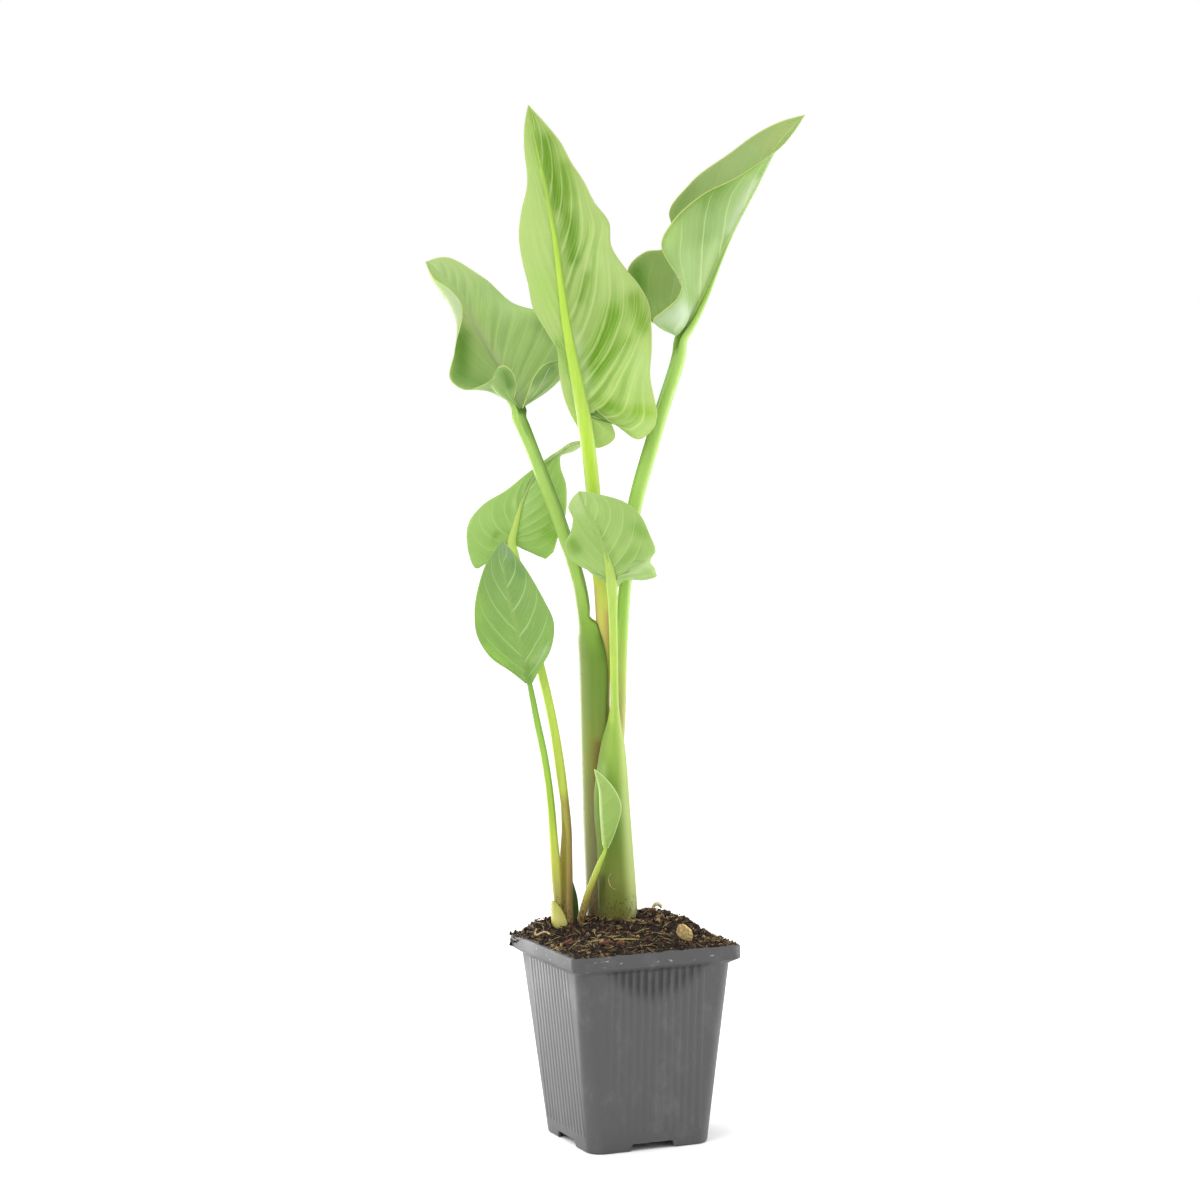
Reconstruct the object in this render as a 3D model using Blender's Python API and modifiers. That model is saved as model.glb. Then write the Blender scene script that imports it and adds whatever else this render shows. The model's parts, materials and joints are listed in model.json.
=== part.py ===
"""Potted calla lily: a young arum-type plant of seven leaves in a square nursery pot.

Lengths are in millimetres and turned into metres where a mesh is made. The pot's sides lie
along X and Y, its base stands on z = 0 and the origin is the middle of its base. The plant's
own points are in a frame of the same origin that is turned about Z, so that +X runs along the
leafy side of the plant and +Y runs through it from front to back.
"""

import math

import bmesh
import bpy
import numpy as np

MM = 0.001
GAP = 0.3                  # clearance between pieces that touch
PLANT_TURN = -22.33        # degrees from the plant's frame to the pot's

# Pot: a tapered square with a flanged rim, corner feet and a middle foot.
POT_HEIGHT = 100.0
RIM_HALF = 45.0
RIM_DEPTH = 6.7
RIM_UNDERSIDE = 2.5
WALL_TOP_HALF = 41.2
WALL_BASE_HALF = 32.5
WALL = 1.2
CORNER_TOP = 5.0
CORNER_BASE = 8.5
WALL_CORNER_TOP = 7.0
RIM_EDGE = 0.6
FLOOR_LIFT = 4.0
MIDDLE_FOOT = 10.0
FOOT_SLANT = 1.0
NOTCH_WIDTH = 21.5
NOTCH_HEIGHT = 3.5
NOTCH_SLANT = 1.6
NOTCH_REACH = 4.0           # how far its cutter goes to either side of the wall
DRAIN_RADIUS = 3.0
DRAIN_PLACE = 19.0
CORNER_STEPS = 3

# Potting soil: filled to the rim and heaped round the stems.
SOIL_EDGE = 99.4
SOIL_LEVEL = 101.2
ROOM_TOP = 135.0            # the cutters for the stalks end above the soil
ROOM_DROP = 8.0             # and reach down into the room for the rhizome
RHIZOME_GAP = 1.5 * GAP     # its room is roomier, as its cutter has flat facets
SETTLE_FROM = 0.82          # share of the way to the wall where the soil starts to fall away
SOIL_SIDE_POINTS = 6
SOIL_RINGS = (0.14, 0.28, 0.42, 0.55, 0.68, 0.8, 0.88, 0.95, 1.0)
HEAPS = (
    # x, y, height, spread
    (-5.0, 22.0, 7.0, 16.0),
    (-33.0, 12.0, 1.6, 11.0),
    (36.0, 20.0, 5.6, 15.0),
    (12.0, 44.0, 3.6, 11.0),
    (-45.0, 20.0, 4.2, 11.0),
    (4.0, -34.0, 1.2, 14.0),
)

# Blades and stalks.
BLADE = 0.8
BODY_ROWS = 15
LOBE_ROWS = 7
BLADE_COLUMNS = 5
OUTER_STEPS = 9
INNER_STEPS = 5
RIDGE = 3                   # thickness at the foot of the rib, in blade thicknesses
RING_EVERY = 14.0           # longest stretch of a stalk between two rings
HEADING_STEP = 0.02         # share of a stalk's length over which its heading is taken
CUP = 0.06                  # how far a half sags between rib and margin, for its width
TINY = 1e-9                 # keeps a direction of no length from being divided by zero
VEIN_STEP = 0.02            # share of the rib's length over which its heading is taken
MARGIN_POINTS = 2001        # places at which the climb of a margin is worked out
FEWEST_RINGS = 8            # even steps along a short stalk


def smooth(knots, values, at, limited=False):
    """Values at the places asked for, on a smooth curve through the points given."""
    knots = np.asarray(knots, float)
    values = np.asarray(values, float).reshape(len(knots), -1)
    step = np.diff(knots)[:, None]
    slope = np.diff(values, axis=0) / step
    if len(knots) == 2:
        tangent = np.vstack([slope, slope])
    else:
        before, after = slope[:-1], slope[1:]
        inner = (step[1:] * before + step[:-1] * after) / (step[1:] + step[:-1])
        if limited:
            rising = before * after > 0
            inner = np.where(rising, 2 * before * after / np.where(rising, before + after, 1), 0)
        ends = 1.5 * slope[[0, -1]] - 0.5 * inner[[0, -1]]
        tangent = np.vstack([ends[:1], inner, ends[1:]])
    at = np.clip(np.asarray(at, float), knots[0], knots[-1])
    i = np.clip(np.searchsorted(knots, at, side="right") - 1, 0, len(knots) - 2)
    h = step[i]
    t = ((at - knots[i]) / h[:, 0])[:, None]
    return (
        values[i] * (2 * t**3 - 3 * t**2 + 1)
        + tangent[i] * h * (t**3 - 2 * t**2 + t)
        + values[i + 1] * (3 * t**2 - 2 * t**3)
        + tangent[i + 1] * h * (t**3 - t**2)
    )


def chord_knots(points):
    """Running distance along a list of points, from 0 to 1."""
    run = np.cumsum(np.linalg.norm(np.diff(np.asarray(points, float)[:, :3], axis=0), axis=1))
    return np.concatenate([[0.0], run]) / run[-1]


def unit(v):
    return v / np.maximum(np.linalg.norm(v, axis=-1, keepdims=True), TINY)


# ---------------------------------------------------------------- leaf shapes
# Each leaf has a rib from stalk to tip and two halves. A half is a list of stations along its
# margin, from the notch beside the stalk, round the basal lobe, to the tip: how far up the rib
# the station's vein starts (0 to 1), the margin point, and for a folded stretch the point that
# the surface passes half way across. "face" is the way the upper surface looks.

CENTER_LEAF = {
    "face": (0.1, 1.0, 0.1),
    "cup": (0.03, -0.16),
    "rib": [(-16, 16, 362), (-20, 13, 383), (-25, 9, 413), (-29, 5, 449), (-33.5, 0, 475),
            (-38, -4, 497), (-41, -9, 514.5)],
    "left": [
        (0.00, (-12, 18, 363.5)),
        (0.00, (-4, 21, 359.5)),
        (0.00, (-0.8, 22, 350.5)),
        (0.00, (-10, 22.5, 345.5)),
        (0.00, (-19.5, 18.5, 356)),
        (0.02, (-25.2, 15, 369)),
        (0.05, (-28.2, 12.5, 383)),
        (0.10, (-29.5, 10.5, 396)),
        (0.15, (-34, 9.5, 404.5)),
        (0.21, (-40.5, 8, 415)),
        (0.29, (-43, 6, 428)),
        (0.36, (-45.5, 5, 439)),
        (0.45, (-47, 3.5, 451)),
        (0.55, (-45.5, 1.5, 463)),
        (0.64, (-42.5, -0.5, 475)),
        (0.80, (-43.5, -4.5, 497)),
        (0.93, (-42.6, -7.5, 508)),
    ],
    "right": [
        (0.00, (-9.5, 15, 364.5)),
        (0.00, (1, 9, 355.5)),
        (0.00, (12, 5, 350)),
        (0.00, (19.5, 5, 356)),
        (0.03, (18.5, 7.5, 372)),
        (0.08, (16.5, 9, 388)),
        (0.14, (18.5, 10, 405)),
        (0.20, (17.5, 9, 417)),
        (0.26, (13, 8.5, 426)),
        (0.34, (5, 6.5, 435)),
        (0.43, (-1, 4.5, 446)),
        (0.52, (-2.5, 1, 457)),
        (0.60, (-9.5, -1.5, 468)),
        (0.72, (-18.5, -4.5, 484)),
        (0.86, (-27.5, -7, 499)),
    ],
}

RIGHT_LEAF = {
    "face": (-0.8, 0.0, 0.6),
    "rib": [(32, 29, 401), (42, 30, 417), (55, 31, 445), (70, 33, 472.5), (87, 37, 501),
            (97.5, 39, 511.5)],
    "left": [
        (0.00, (31.5, 25, 403)),
        (0.00, (23, 15, 405)),
        (0.00, (19, 8, 409)),
        (0.00, (24, 2, 413)),
        (0.02, (31, -2, 419)),
        (0.05, (33, -4, 426)),
        (0.10, (26.5, -6, 437)),
        (0.16, (23.5, -7, 445)),
        (0.27, (29, -4, 457)),
        (0.46, (42.5, 4, 469)),
        (0.66, (61, 15, 479)),
        (0.86, (78, 27, 489.5)),
        (0.93, (89, 32.5, 499.5)),
    ],
    "right": [
        (0.00, (30, 32, 403)),
        (0.00, (17, 37, 410)),
        (0.00, (8, 43, 424)),
        (0.02, (7.5, 46, 436.5)),
        (0.05, (16.5, 48, 444.5)),
        (0.10, (26, 49, 446)),
        (0.18, (30.5, 50, 454)),
        (0.27, (28.5, 51, 464)),
        (0.42, (39, 51, 478)),
        (0.66, (61, 48, 494.5)),
        (0.90, (85, 43, 508.5)),
    ],
}

LEFT_LEAF = {
    "face": (0.5, -0.7, 0.5),
    "rib": [(-48, 24, 366), (-54, 30, 377.5), (-60, 35, 389), (-69, 38, 404), (-75, 40, 418),
            (-83.5, 40, 430), (-95, 38, 440.5)],
    "left": [
        (0.00, (-51, 20, 370.5), (-50.5, 23, 368)),
        (0.00, (-49.6, 15, 379), (-52, 20, 372)),
        (0.00, (-51.5, 13, 384.5), (-54, 18.5, 374)),
        (0.00, (-55.5, 12.5, 387.6), (-57, 17.5, 375.6)),
        (0.00, (-59, 13, 386.3), (-60, 17, 376.4)),
        (0.00, (-60.3, 14, 381.5), (-61, 18, 376)),
        (0.00, (-67, 14, 377.4), (-60, 21, 375)),
        (0.00, (-76, 12, 376.2), (-63, 23, 374.8)),
        (0.04, (-82, 12, 380.5), (-68, 24, 380)),
        (0.12, (-80.5, 14, 394.5), (-72, 27, 391)),
        (0.32, (-76, 18, 411.5), (-78, 29, 408)),
        (0.47, (-76.5, 22, 417.5), (-82, 32, 416)),
        (0.66, (-83, 28, 426.5), (-86.5, 35, 423)),
        (0.86, (-91, 33, 432.5), (-91, 37, 431.5)),
    ],
    "right": [
        (0.00, (-47, 21, 366), (-47.3, 22.5, 366)),
        (0.00, (-44.6, 18, 372), (-45.3, 22, 369)),
        (0.00, (-42.6, 16, 378), (-42.5, 23, 373.2)),
        (0.00, (-40, 15, 382.5), (-38.5, 25, 377)),
        (0.00, (-35.5, 16, 387.5), (-33, 28, 379.4)),
        (0.00, (-29, 19, 390), (-28, 31, 380.5)),
        (0.02, (-21.5, 25, 394), (-27, 35, 384)),
        (0.06, (-17.5, 31, 402), (-33, 38, 392)),
        (0.12, (-22.5, 37, 411), (-41, 40, 399)),
        (0.22, (-32.5, 41, 414.5), (-49, 41, 404)),
        (0.32, (-42, 44, 416), (-56, 42, 408)),
        (0.42, (-50.5, 46, 419), (-62, 43, 414)),
        (0.68, (-66.5, 46.5, 432.5), (-74, 43.5, 428)),
        (0.90, (-86.5, 43, 443), (-88, 41, 439)),
    ],
}

BACK_LEAF = {
    "face": (0.2, 1.0, 0.2),
    "rib": [(-53.5, 29, 298), (-51, 31, 309), (-47, 34, 322), (-42, 37, 332), (-35, 41, 339),
            (-26, 45, 344.5), (-14.5, 49, 348.5)],
    "left": [
        (0.00, (-56.5, 28.5, 299)),
        (0.00, (-63, 27, 294)),
        (0.00, (-72, 25, 285.5)),
        (0.00, (-76, 25, 296)),
        (0.03, (-75, 26, 309)),
        (0.09, (-68.5, 28, 317)),
        (0.21, (-57, 31, 324)),
        (0.42, (-44, 35, 334)),
        (0.66, (-31, 41, 343)),
        (0.86, (-22.5, 47, 348)),
    ],
    "right": [
        (0.00, (-50.5, 30, 296)),
        (0.00, (-42, 31, 292)),
        (0.00, (-36.5, 32, 289.5)),
        (0.03, (-29.6, 34, 302)),
        (0.10, (-25.8, 37, 315)),
        (0.24, (-26, 39, 326.5)),
        (0.42, (-28.6, 42, 337)),
        (0.60, (-28.5, 44, 341)),
        (0.82, (-21.5, 47, 343.5)),
    ],
}

FRONT_LEAF = {
    "face": (0.1, 1.0, 0.2),
    "rib": [(-3.5, 9, 279), (-6, 4, 292), (-9, 1, 301), (-12, -1, 309), (-16, -2, 316),
            (-19, -1, 324.5)],
    "left": [
        (0.00, (-5.9, 9.2, 277.8)),
        (0.00, (-11.2, 5.5, 281.9)),
        (0.00, (-18, 2, 287)),
        (0.02, (-24.5, 0, 291.5)),
        (0.10, (-26.5, -1, 297)),
        (0.30, (-23.5, 0, 305)),
        (0.50, (-22.5, 1, 311)),
        (0.70, (-24.5, 1, 316.5)),
        (0.87, (-22.5, 0, 321)),
    ],
    "right": [
        (0.00, (-0.9, 11.7, 275.2), (-2.2, 10.2, 277.2)),
        (0.00, (1.2, 12, 278.2), (-0.4, 9.2, 279)),
        (0.00, (5.4, 12.8, 279.6), (2.4, 7.8, 280.2)),
        (0.00, (12.5, 15, 278.6), (7, 6, 282.2)),
        (0.00, (18.9, 14, 281), (10.5, 5.5, 284.5)),
        (0.02, (16, 8.5, 288.3), (9.5, 4, 289)),
        (0.07, (18.5, 4, 294.5)),
        (0.16, (16, 2, 302)),
        (0.36, (11, 1, 312.5)),
        (0.57, (3.2, 0, 319)),
        (0.80, (-8, -1, 322.5)),
        (0.92, (-14.5, -1, 324)),
    ],
}

SMALL_LEAF = {
    "face": (-0.1, -1.0, 0.2),
    "rib": [(-45.5, 7, 228), (-48, 5, 240), (-51.5, 4, 257), (-55, 4.5, 271), (-57, 6, 284),
            (-58, 10, 300.5)],
    "left": [
        (0.00, (-47.5, 7, 228.5)),
        (0.03, (-56, 4, 236)),
        (0.08, (-65.5, 2, 243.5)),
        (0.17, (-71, 1, 253)),
        (0.33, (-72, 2, 265)),
        (0.54, (-70, 4, 278)),
        (0.73, (-66, 6, 289)),
        (0.89, (-61.5, 8.5, 296)),
    ],
    "right": [
        (0.00, (-44, 7, 228.5)),
        (0.04, (-39.5, 5, 237)),
        (0.11, (-34.5, 4, 245.5)),
        (0.31, (-33, 3, 260)),
        (0.47, (-37, 3.5, 269.5)),
        (0.66, (-43.5, 5.5, 281.5)),
        (0.86, (-50.5, 8, 292)),
    ],
}

YOUNG_LEAF = {
    "face": (0.3, 0.9, 0.2),
    "rib": [(-8.5, 6, 144.5), (-9.3, 5, 152), (-10.2, 4.2, 164), (-10.8, 4.2, 175),
            (-13.5, 5, 185)],
    "left": [
        (0.00, (-7.6, 7.2, 145)),
        (0.20, (-5.2, 7.6, 155)),
        (0.50, (-4.2, 7.4, 167)),
        (0.76, (-8, 6.6, 176.5)),
        (0.93, (-11.5, 5.6, 182)),
    ],
    "right": [
        (0.00, (-7.2, 5.2, 145)),
        (0.16, (-3.2, 3, 154.5)),
        (0.46, (-0.5, 2, 168)),
        (0.72, (-4.5, 2.6, 176.5)),
        (0.92, (-9.6, 4, 182)),
    ],
}

# Stalks, from the foot up: x, y, z of the middle, half depth along the opening, half width
# across it, wrap of the outer wall (degrees each way from its back), how hollow the opening
# side is (0 to 1) and the way the opening looks (degrees from +X). "wall" is the thickness of
# the sheath at its back and at its two edges.

STALKS = {
    "center_leaf": {
        "wall": (2.0, 1.2),
        "run": [(-5.5, 23, 92, 3.2, 3.2, 150, 0.15, 90), (-7, 23.5, 140, 3.2, 3.2, 150, 0.15, 90),
                (-8.6, 24, 169, 3.2, 3.2, 150, 0.15, 90), (-8.6, 24, 215, 3.2, 3.2, 150, 0.15, 90),
                (-8.1, 23, 250, 3.2, 3.5, 150, 0.15, 90), (-8.6, 21.7, 270, 3.2, 3.6, 150, 0.15, 90),
                (-10.5, 20.2, 292, 3.2, 3.6, 150, 0.15, 90),
                (-12.8, 17.5, 332, 3.1, 3.7, 150, 0.15, 90),
                (-15, 14, 352, 2.8, 3.6, 150, 0.1, 90), (-15.6, 13.2, 359, 2.4, 3.0, 150, 0.05, 90)],
    },
    "right_leaf": {
        "wall": (2.0, 1.2),
        "run": [(1.4, 22.5, 92, 3, 3, 150, 0.1, 150), (0.1, 22.7, 140, 2.9, 2.9, 150, 0.1, 150),
                (-2.2, 22.7, 175, 2.7, 2.7, 150, 0.1, 150), (-0.4, 22.2, 212, 3.1, 3, 150, 0.1, 160),
                (0.8, 22.5, 248, 3.4, 3.1, 150, 0.1, 170), (3.1, 23, 277, 3.5, 3.3, 145, 0.15, 180),
                (8.1, 24, 315, 4.2, 3.6, 140, 0.3, 180), (17.8, 25.5, 348, 4.2, 3.7, 135, 0.35, 190),
                (24.6, 27, 369, 3.9, 3.8, 130, 0.3, 195), (32, 28.5, 392, 3.8, 3.8, 125, 0.4, 203),
                (33.6, 29, 399.6, 3.1, 3.5, 125, 0.3, 205)],
    },
    "left_leaf": {
        "wall": (2.4, 0.6),
        "run": [(-12.5, 24, 92, 6.4, 5.6, 115, 1, 0), (-12.5, 24, 120, 6.5, 5.6, 115, 1, 0),
                (-12.6, 24, 150, 7.1, 5.8, 118, 1, 0), (-12.2, 24, 180, 7.9, 6, 120, 1, 0),
                (-11.6, 24, 215, 8.9, 6.2, 124, 1, 0), (-11.7, 24, 240, 9.1, 6.2, 124, 1, 0),
                (-13.9, 24, 252.5, 7.3, 5.4, 124, 0.95, 0), (-14.7, 24, 256.4, 6.2, 4.8, 125, 0.8, 0),
                (-16.7, 23.6, 258.3, 4.2, 4.2, 130, 0.45, 0), (-17.4, 23.3, 264, 4, 3.9, 135, 0.3, 0),
                (-18.3, 23, 270, 3.8, 3.7, 140, 0.2, -5), (-26.8, 21, 302, 3.6, 3.6, 140, 0.2, -10),
                (-36.8, 20.5, 330, 3.5, 3.5, 140, 0.25, -20),
                (-43.5, 20.8, 348, 3.4, 3.5, 135, 0.3, -30), (-47.1, 21.6, 357, 3.7, 3.7, 130, 0.4, -38),
                (-48.7, 22, 361, 3.8, 3.8, 130, 0.35, -39), (-50.2, 21.6, 364.4, 3.2, 3.4, 130, 0.3, -40)],
    },
    "front_leaf": {
        "wall": (1.9, 0.35),
        "run": [(-3.9, 22, 92, 11, 11, 114, 1, 150), (-3.9, 22, 110, 11, 11, 114, 1, 150),
                (-4.6, 21, 143, 9.7, 10.4, 116, 1, 148), (-5.6, 20, 169, 8.9, 9.9, 112, 1, 138),
                (-5, 19, 184, 7.4, 8, 88, 1, 112), (-4.2, 18, 197, 5.4, 6, 78, 1, 95),
                (-3.4, 15.6, 207, 3.2, 3.6, 95, 0.7, 90), (-3, 14, 215, 2.2, 2.3, 130, 0.25, 90),
                (-3, 13.6, 224, 2.1, 2.1, 140, 0.15, 90), (-3, 12.9, 237, 2.1, 2.1, 140, 0.15, 90),
                (-3.1, 10.8, 259, 2.1, 2.2, 140, 0.15, 90), (-3.4, 8.1, 276.6, 1.7, 2.3, 140, 0.1, 90)],
    },
    "back_leaf": {
        "wall": (1.4, 0.5),
        "run": [(-29.8, 13.5, 92, 4.6, 4.9, 100, 1, 200), (-29.9, 13.5, 118, 4.5, 4.8, 100, 1, 200),
                (-29.5, 13.5, 140, 4.1, 4.3, 100, 1, 200), (-28.9, 13.6, 153, 3.4, 3.6, 105, 0.9, 195),
                (-29.3, 14, 168, 2.6, 2.6, 130, 0.3, 180), (-31.1, 14.5, 186, 2.5, 2.5, 140, 0.1, 150),
                (-33.9, 15.5, 206, 2.3, 2.3, 140, 0.1, 120), (-39.5, 18, 233, 2.2, 2.3, 140, 0.1, 90),
                (-47.4, 21.5, 264.5, 2.1, 2.2, 140, 0.1, 80), (-52.4, 25.3, 292, 1.9, 2.4, 140, 0.1, 75),
                (-53.2, 26.3, 296.4, 1.6, 2.3, 140, 0.05, 75)],
    },
    "small_leaf": {
        "wall": (1.6, 1.0),
        "run": [(-32.8, 11.5, 92, 2.2, 2.2, 150, 0.1, 270), (-32.9, 11.5, 118, 2.2, 2.2, 150, 0.1, 270),
                (-33.3, 11.4, 127, 2.6, 2.6, 150, 0.1, 270),
                (-34.6, 11, 148, 2.2, 2.2, 150, 0.1, 270), (-35.9, 10.3, 169, 1.9, 1.9, 150, 0.1, 270),
                (-38.4, 8.8, 190, 1.8, 1.8, 150, 0.1, 270), (-42.2, 8.2, 210, 1.7, 1.7, 150, 0.1, 270),
                (-45.3, 8, 227.2, 1.2, 1.5, 150, 0.05, 270)],
    },
    "young_leaf": {
        "wall": (1.2, 0.8),
        "run": [(-22.6, 15.6, 92, 2.3, 2.3, 150, 0.1, 90), (-21.4, 14.6, 107, 2.1, 2.1, 150, 0.1, 90),
                (-18.4, 11, 119.5, 1.8, 1.8, 150, 0.1, 90), (-15, 7.8, 129, 1.5, 1.5, 150, 0.1, 90),
                (-11.4, 6, 138, 1.3, 1.3, 150, 0.1, 90), (-8.8, 5.2, 143.6, 0.9, 1.0, 150, 0.05, 90)],
    },
}

SIDE_SHOOT = {
    "wall": (1.0, 0.6),
    "run": [(-24.6, 21.4, 92, 2.2, 2.2, 150, 0, 90), (-24.6, 21.4, 108, 2.1, 2.1, 150, 0, 90),
            (-24.8, 21, 118, 1.5, 1.5, 150, 0, 90), (-25.6, 20.4, 124, 0.8, 0.8, 150, 0, 90),
            (-26, 20, 127, 0.3, 0.3, 150, 0, 90)],
}

BASAL_SCALE = {
    "wall": (0.7, 0.4),
    "run": [(-30.6, 13, 96, 6.2, 6.2, 48, 1, 64), (-30.6, 13, 108, 6.2, 6.2, 46, 1, 62),
            (-30.6, 13, 112, 6.2, 6.2, 40, 1, 55), (-30.6, 13, 115, 6.2, 6.2, 31, 1, 47),
            (-30.6, 13, 117, 6.1, 6.1, 21, 1, 39), (-30.6, 13, 118, 6.1, 6.1, 13, 1, 32)],
}


# ---------------------------------------------------------------- mesh helpers
def material(name, colour, roughness):
    made = bpy.data.materials.new(name)
    made.use_nodes = True
    shader = made.node_tree.nodes["Principled BSDF"]
    shader.inputs["Base Color"].default_value = (*colour, 1.0)
    shader.inputs["Roughness"].default_value = roughness
    shader.inputs["Metallic"].default_value = 0.0
    return made


def mesh_object(name, points, faces, look, parent=None):
    """A named object from points in millimetres."""
    mesh = bpy.data.meshes.new(name)
    mesh.from_pydata([tuple(p) for p in np.asarray(points) * MM], [], faces)
    mesh.update()
    mesh.materials.append(look)
    thing = bpy.data.objects.new(name, mesh)
    MODEL.objects.link(thing)
    thing.parent = parent
    return thing


def point_faces_out(thing):
    mesh = bmesh.new()
    mesh.from_mesh(thing.data)
    bmesh.ops.recalc_face_normals(mesh, faces=mesh.faces)
    mesh.to_mesh(thing.data)
    mesh.free()


def loft(rings):
    """Points and faces of a closed loft through rings of equal length, capped at both ends."""
    size = len(rings[0])
    points = np.vstack(rings)
    faces = []
    for r in range(len(rings) - 1):
        for k in range(size):
            near, far = r * size, (r + 1) * size
            after = (k + 1) % size
            faces.append((near + k, near + after, far + after, far + k))
    faces.append(tuple(range(size))[::-1])
    faces.append(tuple(range(len(points) - size, len(points))))
    return points, faces


def cut(thing, cutters):
    """Booleans that take each cutter away from the thing."""
    for cutter in cutters:
        cutter.hide_render = True
        cutter.display_type = "WIRE"
        for collection in cutter.users_collection:
            collection.objects.unlink(cutter)
        CUTTERS.objects.link(cutter)
        boolean = thing.modifiers.new("cut_" + cutter.name, "BOOLEAN")
        boolean.operation = "DIFFERENCE"
        boolean.object = cutter


# ---------------------------------------------------------------- pot
def rounded_square(half, radius, z, between=0):
    """One ring round the pot; a radius equal to the half width makes a circle."""
    ring = []
    middle = half - radius
    for corner in range(4):
        turn = corner * math.pi / 2
        cx = middle * (1 if corner in (0, 3) else -1)
        cy = middle * (1 if corner in (0, 1) else -1)
        for k in range(CORNER_STEPS + 1):
            a = turn + k / CORNER_STEPS * math.pi / 2
            ring.append((cx + radius * math.cos(a), cy + radius * math.sin(a), z))
        along = np.array((-math.sin(turn + math.pi / 2), math.cos(turn + math.pi / 2), 0))
        for k in range(between):
            step = 2 * middle * (k + 1) / (between + 1)
            ring.append(tuple(ring[-1 - k] + step * along))
    return np.array(ring)


def wall_half(z):
    """Half the outer width of the wall at a height."""
    top = POT_HEIGHT - RIM_DEPTH - RIM_UNDERSIDE
    return WALL_BASE_HALF + (WALL_TOP_HALF - WALL_BASE_HALF) * z / top


def wall_corner(z):
    """Corner radius of the wall at a height."""
    return CORNER_BASE + (WALL_CORNER_TOP - CORNER_BASE) * z / POT_HEIGHT


def make_pot():
    look = material("pot_plastic", (0.10, 0.10, 0.105), 0.45)
    under_rim = POT_HEIGHT - RIM_DEPTH
    wall_top = under_rim - RIM_UNDERSIDE
    floor_top = FLOOR_LIFT + WALL
    inner = CORNER_BASE - WALL
    rings = [
        rounded_square(MIDDLE_FOOT, MIDDLE_FOOT, 0),
        rounded_square(MIDDLE_FOOT + FOOT_SLANT, MIDDLE_FOOT + FOOT_SLANT, FLOOR_LIFT),
        rounded_square(wall_half(FLOOR_LIFT) - WALL, inner, FLOOR_LIFT),
        rounded_square(wall_half(0) - WALL, inner, 0),
        rounded_square(wall_half(0), CORNER_BASE, 0),
        rounded_square(wall_half(wall_top), wall_corner(wall_top), wall_top),
        rounded_square(RIM_HALF, CORNER_TOP, under_rim),
        rounded_square(RIM_HALF, CORNER_TOP, POT_HEIGHT - RIM_EDGE),
        rounded_square(RIM_HALF - RIM_EDGE, CORNER_TOP - RIM_EDGE, POT_HEIGHT),
        rounded_square(wall_half(POT_HEIGHT) - WALL, wall_corner(POT_HEIGHT) - WALL, POT_HEIGHT),
        rounded_square(wall_half(floor_top) - WALL, inner, floor_top),
        rounded_square(MIDDLE_FOOT, MIDDLE_FOOT, floor_top),
        rounded_square(MIDDLE_FOOT - FOOT_SLANT, MIDDLE_FOOT - FOOT_SLANT, WALL),
    ]
    pot = mesh_object("pot", *loft(rings), look)
    point_faces_out(pot)
    cutters = []
    for side in range(4):
        half, slant = NOTCH_WIDTH / 2, NOTCH_SLANT
        outline = [(-half - slant, -1), (half + slant, -1), (half, NOTCH_HEIGHT),
                   (-half, NOTCH_HEIGHT)]
        reach = (WALL_BASE_HALF - NOTCH_REACH, WALL_BASE_HALF + NOTCH_REACH)
        points = [(x, y, z) for y in reach for x, z in outline]
        faces = [(0, 1, 2, 3), (7, 6, 5, 4)]
        faces += [(k, k + 4, (k + 1) % 4 + 4, (k + 1) % 4) for k in range(4)]
        notch = mesh_object(f"notch_{side}", points, faces, look)
        notch.rotation_euler.z = side * math.pi / 2
        point_faces_out(notch)
        cutters.append(notch)
        bpy.ops.mesh.primitive_cylinder_add(vertices=16, radius=DRAIN_RADIUS * MM,
                                            depth=4 * WALL * MM)
        drain = bpy.context.object
        drain.name = f"drain_{side}"
        turn = (side + 0.5) * math.pi / 2
        reach = DRAIN_PLACE * math.sqrt(2) * MM
        drain.location = (reach * math.cos(turn), reach * math.sin(turn),
                          (FLOOR_LIFT + WALL / 2) * MM)
        cutters.append(drain)
    cut(pot, cutters)


# ---------------------------------------------------------------- stalks
def stalk_rings(shape, grow=0.0, solid=False, until=None):
    """Rings along a stalk, in the plant's frame; solid fills the sheath for a cutter."""
    run = np.array(shape["run"], float)
    knots = chord_knots(run)
    length = np.linalg.norm(np.diff(run[:, :3], axis=0), axis=1).sum()
    count = max(FEWEST_RINGS, int(length / RING_EVERY))
    at = np.union1d(np.linspace(0, 1, count), knots)
    if until is not None:
        at = at[smooth(knots, run, at)[:, 2] < until]
    values = smooth(knots, run, at)
    ahead = smooth(knots, run[:, :3], at + HEADING_STEP)
    behind = smooth(knots, run[:, :3], at - HEADING_STEP)
    along = unit(ahead - behind)
    back_wall, edge_wall = shape["wall"]
    rings = []
    for value, t in zip(values, along):
        middle, (deep, wide, wrap, hollow, turn) = value[:3], value[3:]
        turn = math.radians(turn)
        way = np.array([math.cos(turn), math.sin(turn), 0.0])
        opening = unit(way - t * (way @ t))
        across = np.cross(t, opening)
        wrap = math.radians(wrap)
        hollow = 0.0 if solid else hollow

        def place(angle, wall=0.0):
            a, b = deep + grow - wall, wide + grow - wall
            return -math.cos(angle) * a * opening + math.sin(angle) * b * across

        ring = [place(a) for a in np.linspace(-wrap, wrap, OUTER_STEPS)]
        for u in np.linspace(1, -1, INNER_STEPS + 2)[1:-1]:
            wall = back_wall + (edge_wall - back_wall) * u * u
            inside = place(u * wrap, wall)
            outside = place(wrap + (1 - u) * (math.pi - wrap))
            ring.append(inside * hollow + outside * (1 - hollow))
        rings.append(middle + np.array(ring))
    return rings


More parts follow.
